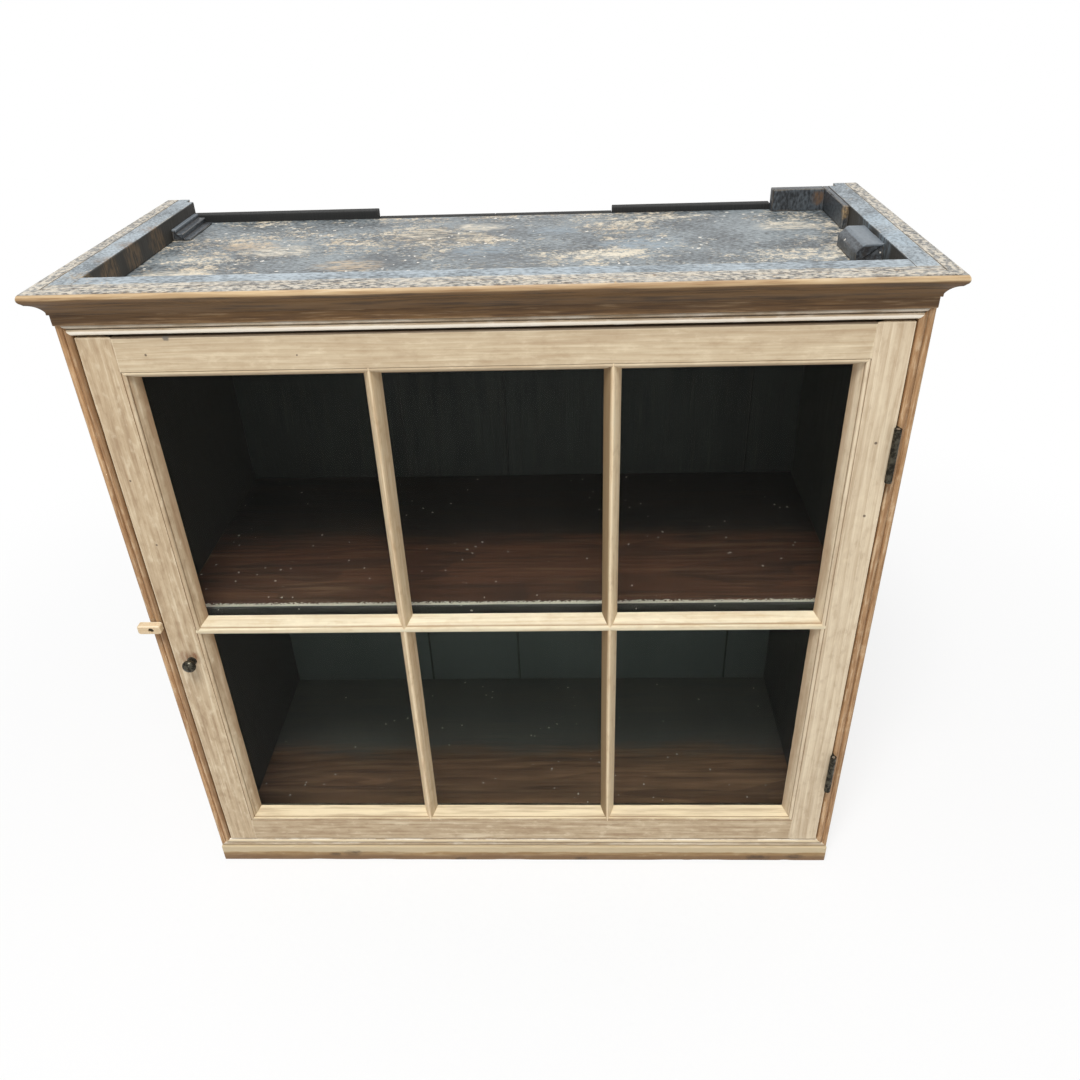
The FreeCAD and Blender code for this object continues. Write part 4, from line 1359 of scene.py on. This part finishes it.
    @staticmethod
    def _top_marks() -> list[Mark]:
        """Place the dark, bare and bluish patches on the top board.

        Returns:
            The marks.
        """
        low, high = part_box("top_board")
        middle, deep = (low[1] + high[1]) / 2, (high[1] - low[1]) / 2
        bare, tan, blue, dark = shade(222, 212, 192), shade(190, 168, 138), shade(132, 146, 156), shade(72, 76, 79)
        spots = (
            (-0.22, 0.3, 42, dark), (-0.1, -0.1, 30, dark), (-0.95, -0.8, 22, bare), (-0.1, 0.55, 46, dark),
            (0.04, -0.35, 36, dark), (-0.3, -0.15, 32, dark),
            (-0.63, 0.1, 26, bare), (-0.07, 0.66, 20, bare), (0.83, 0.47, 24, bare), (0.28, -0.2, 16, bare),
            (-0.85, -0.5, 30, bare), (-0.72, 0.24, 22, tan), (-0.4, -0.3, 26, tan), (-0.05, 0.0, 24, blue),
            (0.4, 0.1, 34, blue), (0.15, 0.5, 20, blue))
        return [
            Mark((across * high[0], middle + back * deep, high[2]), radius * MM, colour, broken=0.95, drawn=0.55)
            for across, back, radius, colour in spots]

    def _board(
        self, node: str, grain: Grain, finish: WoodFinish, soils_and_shade: Sequence[SoilAndShade] = (), marks: Sequence[Mark] = (),
    ) -> None:
        """Build a board in the place of a solid: a plain plank, or a copy of a solid with rebates and tenons.

        Args:
            node: The solid.
            grain: Direction of the fibres.
            finish: Its wood.
            soils_and_shade: Dirt, bleaching, painted shade and painted highlights that deepen along it.
            marks: Stains and bare patches on it.
        """
        if node in self.shaped:
            piece = eased_copy(node, f"worn_{node}", self.edge, self.shortest_eased)
        else:
            chip = self.base_chip if node == "base_board" else self.chip
            piece = plank(f"worn_{node}", grain, *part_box(node), self.edge, chip)
        fit(piece, node, "carcass", finish, grain, soils_and_shade, marks)


@dataclass(frozen=True)
class BeadFrame:
    """The beads round the door opening: a round ridge by the door, a quirk and a lower band outside it."""

    thickness: float = 12 * MM
    ridge: float = 8 * MM
    slim_ridge: float = 5.4 * MM
    ridge_drop: float = 3 * MM
    quirk: float = 1.2 * MM
    quirk_depth: float = 4.6 * MM
    band_crown: float = 2.2 * MM
    edge: float = 0.6 * MM
    # Depths behind the front over which the crest of the top and bottom beads is painted pale: a painted highlight
    crest_highlight: tuple[float, float] = (1.2 * MM, 0.2 * MM)
    # Dark brown for the inner side of the left bead: painted shade, as if the light came from the left
    bead_inner_shadow: Colour = shade(122, 88, 52)

    def section(self, width: float, ridge: float) -> np.ndarray:
        """Draw the section of a bead.

        Args:
            width: Width of the bead, from the opening outwards.
            ridge: Width of its round ridge.

        Returns:
            The outline as distance from the opening and depth behind the front.
        """
        band = ridge + self.quirk
        corners = np.concatenate((
            ((0, self.thickness),),
            arc((0, self.ridge_drop), (ridge / 2, 0), (ridge, self.ridge_drop), 8),
            ((ridge, self.quirk_depth),),
            arc((band, self.quirk_depth), ((band + width) / 2, self.band_crown), (width, self.quirk_depth), 6),
            ((width, self.thickness),),
        ))
        return ease(corners, self.edge)

    def build(self, face: Face) -> None:
        """Build the four mitred beads: a point u outside the opening ends u beyond its corners.

        Args:
            face: Lines of the front.
        """
        half, bottom, top = face.opening
        wide = self.section(face.half - half, self.ridge)
        narrow = self.section(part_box("bead_top")[1][2] - top, self.slim_ridge)
        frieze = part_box("bead_left")[1][2]
        # The inner side of the left bead is painted darker: painted shade
        bead_inner_shadow = SoilAndShade(
            Grain.ACROSS, clean=-half - self.ridge, dirty=-half, colour=self.bead_inner_shadow, strength=0.7, streaked=0.3)
        for node, sign, soils_and_shade in (("bead_left", -1, (bead_inner_shadow,)), ("bead_right", 1, ())):
            starts, ends = bottom - wide[:, 0], np.minimum(top + wide[:, 0], frieze)
            placed = wide * (sign, 1, 1) + (sign * half, face.front, 0)
            member = Member(f"worn_{node}", placed, Grain.UP, starts, ends, (0, 1))
            fit(member.build(), node, "carcass", BEAD, Grain.UP, soils_and_shade)
        clean, dirty = (face.front + depth for depth in self.crest_highlight)
        for node, outline, sign, line, colour in (
            ("bead_bottom", wide, -1, bottom, CREAM), ("bead_top", narrow, 1, top, PALE_BEAD.rubbed),
        ):
            ends = half + outline[:, 0]
            placed = outline * (sign, 1, 1) + (line, face.front, 0)
            member = Member(f"worn_{node}", placed, Grain.ACROSS, -ends, ends, (2, 1))
            # Pale colour painted along the crest of the top and bottom beads: a painted highlight
            crest_highlight_band = SoilAndShade(Grain.BACK, clean, dirty, colour, strength=0.7, scale=60.0, ragged=0.5)
            fit(member.build(), node, "carcass", PALE_BEAD, Grain.ACROSS, (crest_highlight_band,))


@dataclass(frozen=True)
class Cornice:
    """The moulding under the top edge: a rounded nose over a small step and a cove."""

    height: float = 26 * MM
    top_edge: float = 14.5 * MM
    nose: tuple[float, float] = (17.7 * MM, 4 * MM)
    nose_end: tuple[float, float] = (15.5 * MM, 10 * MM)
    step: tuple[float, float] = (13.7 * MM, 12 * MM)
    cove_via: tuple[float, float] = (6 * MM, 16.6 * MM)
    cove_end: tuple[float, float] = (1.5 * MM, 23 * MM)
    edge: float = 0.8 * MM
    joint: float = 1.4 * MM
    shaded: tuple[float, float] = (4 * MM, 8 * MM)
    shadow: Colour = shade(102, 71, 34)

    def section(self) -> np.ndarray:
        """Return the section as distance in front of the carcass and depth below the top."""
        corners = np.concatenate((
            ((0, self.height), (0, 0)),
            arc((self.top_edge, 0), self.nose, self.nose_end, 9),
            arc(self.step, self.cove_via, self.cove_end, 9),
            ((self.cove_end[0], self.height),),
        ))
        return ease(corners, self.edge)

    def build(self, face: Face) -> None:
        """Build the front length and both returns: a point p in front of the carcass ends p beyond its corner.

        Args:
            face: Lines of the front.
        """
        section = self.section()
        out = section[:, 0]
        clean, dirty = (face.top - depth for depth in self.shaded)
        # Dark brown painted over the band below the nose: a painted shadow of the nose on the cove
        nose_shadow_band = SoilAndShade(Grain.UP, clean, dirty, self.shadow, strength=0.92, streaked=0.75)
        nosing = replace(
            BROWN, early=shade(206, 180, 140), late=shade(154, 121, 81), stain=shade(132, 98, 62),
            rubbed=shade(222, 204, 170), streaks=300.0, paint=STRIP_PAINT, paint_sheen=STRIP_CHALK,
            paint_cover=0.72, paint_from=face.top - 0.5 * MM)
        placed = section * (-1, -1, 1) + (face.front, face.top, 0)
        ends = face.half + out
        front = Member("worn_cornice_front", placed, Grain.ACROSS, -ends, ends, (1, 2), dents=60)
        pieces = [("cornice_front", front, Grain.BACK, face.front)]
        for node, sign in (("cornice_left", -1), ("cornice_right", 1)):
            placed = section * (sign, -1, 1) + (sign * face.half, face.top, 0)
            ends = np.full(len(out), face.back)
            member = Member(f"worn_{node}", placed, Grain.BACK, face.front - out, ends, (0, 2))
            pieces.append((node, member, Grain.ACROSS, sign * face.half))
        for node, member, axis, inner in pieces:
            outer = inner + math.copysign(self.joint, inner)
            joint = SoilAndShade(axis, clean=outer, dirty=inner, colour=DARK, strength=0.6, scale=120.0)
            fit(member.build(), node, "carcass", nosing, member.grain, (nose_shadow_band, face.chalk(), joint))


@dataclass(frozen=True)
class TopBlocks:
    """The blocks and the cleat that stand on the top board."""

    chamfer: float = 9 * MM
    steps: tuple[tuple[float, float], ...] = ((0.27, 1.0), (0.64, 0.61), (1.0, 0.17))
    edge: float = 1 * MM
    # Pale blue-grey painted over the top of each block: painted light where the light from above falls
    dust: Colour = shade(128, 138, 146)

    def build(self) -> None:
        """Build the stepped block, the chamfered block, the cleat and the corner block."""
        low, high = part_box("stepped_block")
        profile = [(low[0], low[2])]
        for share, rise in self.steps:
            level = low[2] + rise * (high[2] - low[2])
            profile += [(profile[-1][0], level), (low[0] + share * (high[0] - low[0]), level)]
        self._block("stepped_block", profile + [(high[0], low[2])])
        low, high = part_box("chamfered_block")
        self._block("chamfered_block", [
            (low[0], low[2]), (low[0], high[2] - self.chamfer), (low[0] + self.chamfer, high[2]),
            (high[0], high[2]), (high[0], low[2])])
        low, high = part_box("side_cleat")
        bare = Mark((low[0], low[1], high[2] - 8 * MM), 9 * MM, shade(176, 148, 108), strength=0.85, broken=0.7)
        piece = plank("worn_side_cleat", Grain.BACK, low, high, self.edge)
        fit(piece, "side_cleat", "carcass", BLACK_BLOCK, Grain.BACK, (), (bare,))
        low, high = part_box("corner_block")
        place = (high[0] - 8 * MM, low[1], high[2] - 12 * MM)
        brown = Mark(place, 10 * MM, shade(112, 84, 58), strength=0.7, broken=0.7)
        piece = plank("worn_corner_block", Grain.UP, low, high, self.edge)
        fit(piece, "corner_block", "carcass", BLACK_BLOCK, Grain.UP, (), (brown,))

    def _block(self, node: str, profile: Sequence[tuple[float, float]]) -> None:
        """Build a block that runs from front to back.

        Args:
            node: The solid.
            profile: Corners of its section.
        """
        low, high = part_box(node)
        outline = ease(np.array(profile), self.edge)
        starts, ends = (np.full(len(outline), corner[1]) for corner in (low, high))
        member = Member(f"worn_{node}", outline, Grain.BACK, starts, ends, (0, 2), end_ease=self.edge)
        # The top of the block is painted paler: painted light from above
        lit_top = SoilAndShade(
            Grain.UP, clean=high[2] - 4 * MM, dirty=high[2] - 1 * MM, colour=self.dust, strength=0.55, scale=90.0)
        fit(member.build(), node, "carcass", BLACK_BLOCK, Grain.BACK, (lit_top,))


def grooved(outline: np.ndarray, place: float, depth: float, reach: float = 0.8 * MM) -> np.ndarray:
    """Mark the points of an outline near a groove, on either side of the middle, as lying in.

    Args:
        outline: Points with their marks.
        place: Distance of the groove.
        depth: Depth of the groove.
        reach: How near a point has to be.

    Returns:
        The outline with new marks.
    """
    near = np.hypot(np.abs(outline[:, 0]) - place, outline[:, 1] - depth) < reach
    return np.column_stack((outline[:, :2], np.where(near, -1.0, outline[:, 2])))


@dataclass(frozen=True)
class Sash:
    """The moulded door frame and its glazing bars."""

    thickness: float = 27 * MM
    flat: float = 37.5 * MM
    sticking: float = 12.5 * MM
    glass_depth: float = 18 * MM
    step: float = 1.2 * MM
    bead: float = 4.5 * MM
    bead_crown: float = 0.2 * MM
    bead_foot: float = 1.9 * MM
    quirk: float = 3.6 * MM
    flank_via: tuple[float, float] = (8.9 * MM, 10.3 * MM)
    rebate: float = 7 * MM
    nose_drop: float = 0.8 * MM
    level_nose: float = 3 * MM
    level_tongue: float = 5.5 * MM
    level_band: float = 3.9 * MM
    level_groove: tuple[float, float] = (2.2 * MM, 3.4 * MM)
    upright_nose: float = 1.2 * MM
    upright_tongue: float = 2.5 * MM
    swell: float = 0.9 * MM
    bury: float = 0.4 * MM
    seam: float = 0.001 * MM
    edge: float = 0.7 * MM
    # Brown that deepens towards the glass on the moulded sticking: painted shade in the recess
    sticking_shade: Colour = shade(156, 120, 84)
    # Darker tone for one flank of each upright bar
    bar_flank_tone: Colour = shade(134, 110, 76)
    # Dark line along the top edge of the top rail: painted shadow of the gap under the top bead
    top_gap_shadow: Colour = shade(74, 56, 40)
    finishes: dict[str, WoodFinish] = field(default_factory=lambda: {
        "horizontal_bar": SILL, "door_left_stile": DULL, "door_bottom_rail": DULL,
        "door_top_rail": replace(STRIPPED, early=shade(203, 186, 156)),
        "door_right_stile": replace(STRIPPED, early=shade(219, 203, 175))})

    def section(self) -> np.ndarray:
        """Draw the section of a frame member.

        Returns:
            The outline as distance inside its arris and depth behind the front.
        """
        rebate = self.sticking - self.rebate
        corners = np.concatenate((
            ((-self.flat, 0), (0, 0), (-self.seam, self.step)),
            arc((self.seam, self.step), (self.bead / 2, self.bead_crown), (self.bead, self.bead_foot), 6),
            arc((self.bead, self.quirk), self.flank_via, (self.sticking, self.glass_depth), 7),
            ((rebate, self.glass_depth), (rebate, self.thickness), (self.seam, self.thickness)),
            ((-self.seam, self.thickness), (-self.flat, self.thickness)),
        ))
        return grooved(ease(corners, self.edge), 0.0, self.step)

    def level_section(self, wide: float) -> np.ndarray:
        """Return the section of the level bar: a nose, a groove beside it, full flanks and a tongue.

        Args:
            wide: Half width at the glass.

        Returns:
            The outline as distance from the middle and depth behind the front.
        """
        band, (upper, lower) = self.level_band, self.level_groove
        via = ((band + wide) / 2 + self.swell, (lower + self.glass_depth) / 2)
        half = np.concatenate((
            ((band, upper), (band, lower)), arc((band + 0.2 * MM, lower), via, (wide, self.glass_depth), 7),
            ((self.level_tongue, self.glass_depth), (self.level_tongue, self.thickness)),
        ))
        nose = arc((-self.level_nose, self.nose_drop), (0, 0), (self.level_nose, self.nose_drop), 5)
        return grooved(ease(np.concatenate((nose, half, half[::-1] * (-1, 1))), self.edge), band, lower)

    def upright_section(self, wide: float) -> np.ndarray:
        """Return the section of an upright bar: a narrow nose, full flanks and a tongue.

        Args:
            wide: Half width at the glass.

        Returns:
            The outline as distance from the middle and depth behind the front.
        """
        nose = self.upright_nose
        via = ((nose + wide) / 2 + self.swell, (self.nose_drop + self.glass_depth) / 2)
        half = np.concatenate((
            arc((nose, self.nose_drop), via, (wide, self.glass_depth), 8),
            ((self.upright_tongue, self.glass_depth), (self.upright_tongue, self.thickness)),
        ))
        return ease(np.concatenate((((0, 0),), half, half[::-1] * (-1, 1))), self.edge)

    def reach_of_frame(self, depth: np.ndarray) -> np.ndarray:
        """Find how far a frame member stands inside its arris, less what a bar is let into it.

        Args:
            depth: Depths behind the front.

        Returns:
            The reach at each depth.
        """
        depths = np.array((0, self.bead_foot, self.quirk, self.flank_via[1], self.glass_depth, self.thickness))
        reach = np.array((0, self.bead / 2, self.bead, self.flank_via[0], self.sticking, self.sticking - self.rebate))
        return np.interp(depth, depths, reach) - self.bury

    def build(self, face: Face) -> None:
        """Build stiles, rails and bars; mouldings meet in mitres and the bars are scribed over them.

        Args:
            face: Lines of the front.
        """
        half, bottom, top = face.door
        arris = (half - self.flat, bottom + self.flat, top - self.flat)
        section = self.section()
        inside = np.maximum(section[:, 0], 0)
        moulded = section[:, 0] > self.seam / 2
        pieces: list[tuple[str, Member]] = []
        for node, sign in (("door_left_stile", -1), ("door_right_stile", 1)):
            starts = np.where(moulded, arris[1] + inside, bottom)
            ends = np.where(moulded, arris[2] - inside, top)
            placed = section * (-sign, 1, 1) + (sign * arris[0], face.front, 0)
            pieces.append((node, Member(f"worn_{node}", placed, Grain.UP, starts, ends, (0, 1), dents=40)))
        for node, sign, line in (("door_bottom_rail", 1, arris[1]), ("door_top_rail", -1, arris[2])):
            ends = arris[0] - inside
            placed = section * (sign, 1, 1) + (line, face.front, 0)
            pieces.append((node, Member(f"worn_{node}", placed, Grain.ACROSS, -ends, ends, (2, 1), dents=40)))
        pieces += self._bars(face, arris)
        for node, member in pieces:
            finish = self.finishes.get(node, BAR if node.startswith("vertical") else STRIPPED)
            soils_and_shade, marks = self._soils_and_shade(node, face), self._marks(node, face)
            fit(member.build(), node, "door", finish, member.grain, soils_and_shade, marks)

    def _soils_and_shade(self, node: str, face: Face) -> list[SoilAndShade]:
        """List what deepens along a member of the door: painted shade in the sticking, a painted shadow on the top
        rail, the darker flanks of the upright bars and the bottom rail's cream sticking, which is partly painted light.

        Args:
            node: The solid that the member stands for.
            face: Lines of the front.

        Returns:
            Its layers.
        """
        front, top = face.front, face.door[2]
        if node == "horizontal_bar":
            return []
        if node == "door_bottom_rail":
            # The upward-facing sticking of the bottom rail is painted cream: partly its own paler colour, partly
            # painted light from above
            return [SoilAndShade(Grain.BACK, front + 0.3 * MM, front + 1.5 * MM, CREAM, strength=0.85, streaked=0.4)]
        # One flank of each upright bar is darker: strongly the left flank of the right bars, faintly the right flank of
        # the left bars
        if node.startswith("vertical"):
            left, right = (corner[0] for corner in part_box(node))
            middle = (left + right) / 2
            inner, strength = (left, 0.92) if node.endswith("right") else (right, 0.35)
            return [SoilAndShade(
                Grain.ACROSS, clean=middle, dirty=(middle + inner) / 2, colour=self.bar_flank_tone, strength=strength,
                scale=60.0, streaked=0.3, drawn=0.06)]
        # The sticking darkens towards the glass: painted shade in the recess
        soils_and_shade = [SoilAndShade(Grain.BACK, front + 3 * MM, front + self.glass_depth, self.sticking_shade, strength=0.5)]
        # A painted shadow along the top edge of the top rail, in the gap under the top bead
        if node == "door_top_rail":
            soils_and_shade.append(SoilAndShade(Grain.UP, top - 1.6 * MM, top - 0.6 * MM, self.top_gap_shadow, strength=0.85))
        return soils_and_shade

    def _marks(self, node: str, face: Face) -> list[Mark]:
        """List the old nail holes and stains on a member of the door.

        Args:
            node: The solid that the member stands for.
            face: Lines of the front.

        Returns:
            Its marks.
        """
        half, bottom, top = face.door
        hole, grey, varnish = shade(58, 40, 28), shade(96, 92, 86), shade(134, 84, 52)
        high = (top - bottom) / MM
        knob = (top - (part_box("knob")[0][2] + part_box("knob")[1][2]) / 2) / MM
        wide = 2 * half / MM
        # Across from the left edge, down from the top edge and radius, in millimetres
        marks = {
            "door_right_stile": ((wide - 18, 132, 2, hole), (wide - 16, 222, 2, hole)),
            "door_left_stile": ((13, 165, 1.5, hole), (21, 250, 1.5, hole), (20, knob - 6, 13, varnish)),
            "door_top_rail": ((69, 19, 1.5, hole), (94, 1, 4, grey), (225, 22, 1.2, hole)),
            "horizontal_bar": ((wide - 200, high / 2 - 10, 3, varnish),),
        }.get(node, ())
        return [
            Mark(
                (across * MM - half, face.front, top - down * MM), radius * MM, colour,
                broken=0.6 if colour == varnish else 0.0)
            for across, down, radius, colour in marks]

    def _bars(self, face: Face, arris: tuple[float, float, float]) -> list[tuple[str, Member]]:
        """Lay out the bars.

        Args:
            face: Lines of the front.
            arris: Half width, bottom and top of the flat frame's inner edge.

        Returns:
            Each bar with the solid it stands for.
        """
        low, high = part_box("horizontal_bar")
        line, wide = (low[2] + high[2]) / 2, (high[2] - low[2]) / 2
        level = self.level_section(wide)
        ends = arris[0] - self.reach_of_frame(level[:, 1])
        placed = level + (line, face.front, 0)
        bars = [("horizontal_bar", Member("worn_horizontal_bar", placed, Grain.ACROSS, -ends, ends, (2, 1)))]
        low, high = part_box("vertical_bar_upper_left")
        upright = self.upright_section((high[0] - low[0]) / 2)
        depth = upright[:, 1]
        depths = (0, self.nose_drop, self.level_groove[1], self.glass_depth, self.glass_depth + self.seam)
        widths = (0, self.level_nose, self.level_band, wide, self.level_tongue)
        crossing = np.interp(depth, depths, widths) - self.bury
        for side in ("left", "right"):
            for row in ("upper", "lower"):
                node = f"vertical_bar_{row}_{side}"
                low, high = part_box(node)
                placed = upright + ((low[0] + high[0]) / 2, face.front, 0)
                if row == "upper":
                    starts, ends = line + crossing, arris[2] - self.reach_of_frame(depth)
                else:
                    starts, ends = arris[1] + self.reach_of_frame(depth), line - crossing
                bars.append((node, Member(f"worn_{node}", placed, Grain.UP, starts, ends, (0, 1), dents=12)))
        return bars


@dataclass(frozen=True)
class Hardware:
    """Hinges, knob, screws and the turn button."""

    knob_foot: tuple[float, float] = (6 * MM, 1.8 * MM)
    knob_neck: float = 4.2 * MM
    knob_head: tuple[float, float] = (8.5 * MM, 6 * MM)
    turns: int = 72
    rings: int = 90
    crisp_turn: float = 50.0
    button_edge: float = 0.5 * MM
    button_side: float = 3 * MM

    def build(self) -> None:
        """Dress the hinges and the screws, and build the knob and the turn button."""
        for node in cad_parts:
            if node.startswith("hinge_pin"):
                keep(node, STEEL)
            elif node.startswith("hinge_") or node.endswith("_screw"):
                keep(node, IRON)
        fit(self._knob(), "knob", "door", IRON)
        button = eased_copy("turn_button", "worn_turn_button", self.button_edge, self.button_side)
        fit(button, "turn_button", "turn_button", BUTTON, Grain.ACROSS)

    def _knob(self) -> Piece:
        """Turn the knob: its radius at t is the largest of a foot, a neck and an ellipse for the head.

        Returns:
            The knob.
        """
        low, high = (np.array(corner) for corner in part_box("knob"))
        middle = (low + high) / 2
        length = high[1] - low[1]
        share = (1 - np.cos(np.linspace(0, math.pi, self.rings))) / 2
        along = share * length
        radius, reach = self.knob_head
        head = radius * np.sqrt(np.clip(1 - ((along - (length - reach)) / reach) ** 2, 0, 1))
        foot_radius, foot_height = self.knob_foot
        foot = foot_radius * np.clip(1 - (along / foot_height) ** 6, 0, 1) ** 0.5
        size = np.maximum(np.maximum(foot, np.where(along < length - reach, self.knob_neck, 0)), head)
        angle = np.linspace(0, 2 * math.pi, self.turns, endpoint=False)
        points = np.stack(np.broadcast_arrays(
            middle[0] + size[:, None] * np.cos(angle), high[1] - along[:, None],
            middle[2] + size[:, None] * np.sin(angle)), axis=2)
        faces = tube_faces(self.rings, self.turns)
        return close_mesh("turned_knob", points.reshape(-1, 3), faces, {}, self.crisp_turn)


class Glazing:
    """The panes and their putty."""

    @staticmethod
    def build() -> None:
        """Dress the panes and the putty."""
        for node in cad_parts:
            if node.startswith("pane_"):
                keep(node, GLASS)
            elif node == "glazing_putty":
                keep(node, PUTTY)


@dataclass(frozen=True)
class Studio:
    """Camera, light and floor."""

    eye: tuple[float, float, float] = (0.08495, -1.06925, 1.1243)
    lens: float = 30.755
    tilt: tuple[float, float, float] = (32.631, 2.203, -0.636)
    floor_size: float = 30.0
    key_from: tuple[float, float, float] = (-0.2, -1.6, 3.5)
    key_size: float = 1.1
    key_power: float = 110.0
    fill: float = 0.45
    floor_colour: Colour = shade(238, 238, 238)
    near: float = 0.55
    far: float = 1.6
    near_white: float = 0.72

    def build(self) -> None:
        """Set the camera, the light, the world and the floor."""
        scene = bpy.context.scene
        scene.view_settings.view_transform = "Standard"
        camera = shown("camera", bpy.data.cameras.new("camera"))
        camera.data.lens = self.lens
        camera.data.clip_end = 100
        pitch, roll, swing = (math.radians(angle) for angle in self.tilt)
        turn = Matrix.Rotation(swing, 3, "Z") @ Matrix.Rotation(roll, 3, "Y") @ Matrix.Rotation(pitch, 3, "X")
        view = turn @ Matrix(((1, 0, 0), (0, 0, -1), (0, 1, 0)))
        facing = (Matrix.Diagonal((1, -1, -1)) @ view).transposed()
        camera.matrix_world = Matrix.Translation(self.eye) @ facing.to_4x4()
        scene.camera = camera
        self._key()
        self._world(scene)
        self._floor()

    def _key(self) -> None:
        """Hang the large soft lamp above the front, aimed at the middle of the cabinet."""
        lamp = shown("key", bpy.data.lights.new("key", "AREA"))
        lamp.data.size = self.key_size
        lamp.data.energy = self.key_power
        aim = Vector((0, 0, CAD_BOX[1][2] / 2)) - Vector(self.key_from)
        lamp.matrix_world = Matrix.Translation(self.key_from) @ aim.to_track_quat("-Z", "Y").to_matrix().to_4x4()

    def _world(self, scene: bpy.types.Scene) -> None:
        """Surround the scene with soft light that looks white where it is seen or mirrored.

        Args:
            scene: The scene.
        """
        scene.world = bpy.data.worlds.new("studio")
        scene.world.use_nodes = True
        graph = Graph(scene.world.node_tree)
        graph.tree.nodes.clear()
        seen = graph.seen("Is Camera Ray", "Is Transmission Ray", "Is Glossy Ray")
        strength = graph.span(seen, 0.0, 1.0, self.fill, 1.0)
        light = graph.add("ShaderNodeBackground", {"Color": (1.0, 1.0, 1.0, 1.0), "Strength": strength})
        graph.add("ShaderNodeOutputWorld", {"Surface": light.outputs[0]})

    def _floor(self) -> None:
        """Lay a pale floor that keeps a faint shadow near the cabinet and turns white away from it."""
        reach = self.floor_size / 2
        mesh = bpy.data.meshes.new("floor")
        mesh.from_pydata(
            [(-reach, -reach, 0), (reach, -reach, 0), (reach, reach, 0), (-reach, reach, 0)], [], [(0, 1, 2, 3)])
        floor = shown("floor", mesh)
        graph = Surface("floor")
        seen = graph.seen("Is Camera Ray", "Is Transmission Ray")
        away = graph.add("ShaderNodeVectorMath", {0: graph.place}, operation="LENGTH").outputs["Value"]
        lift = graph.math("MULTIPLY", seen, graph.span(away, self.near, self.far, self.near_white, 1.0))
        matt = graph.add("ShaderNodeBsdfDiffuse", {"Color": self.floor_colour})
        white = graph.add("ShaderNodeEmission", {"Color": (1.0, 1.0, 1.0, 1.0), "Strength": 1.0})
        both = graph.add("ShaderNodeMixShader", {0: lift, 1: matt.outputs[0], 2: white.outputs[0]})
        graph.add("ShaderNodeOutputMaterial", {"Surface": both.outputs[0]})
        mesh.materials.append(graph.material)


def main() -> None:
    """Build the looks of the whole cabinet."""
    logging.basicConfig(level=logging.INFO, format="%(message)s")
    face = Face.read()
    Carcass().build(face)
    BeadFrame().build(face)
    Cornice().build(face)
    TopBlocks().build()
    Sash().build(face)
    Hardware().build()
    Glazing.build()
    Studio().build()


if __name__ == "__main__":
    main()
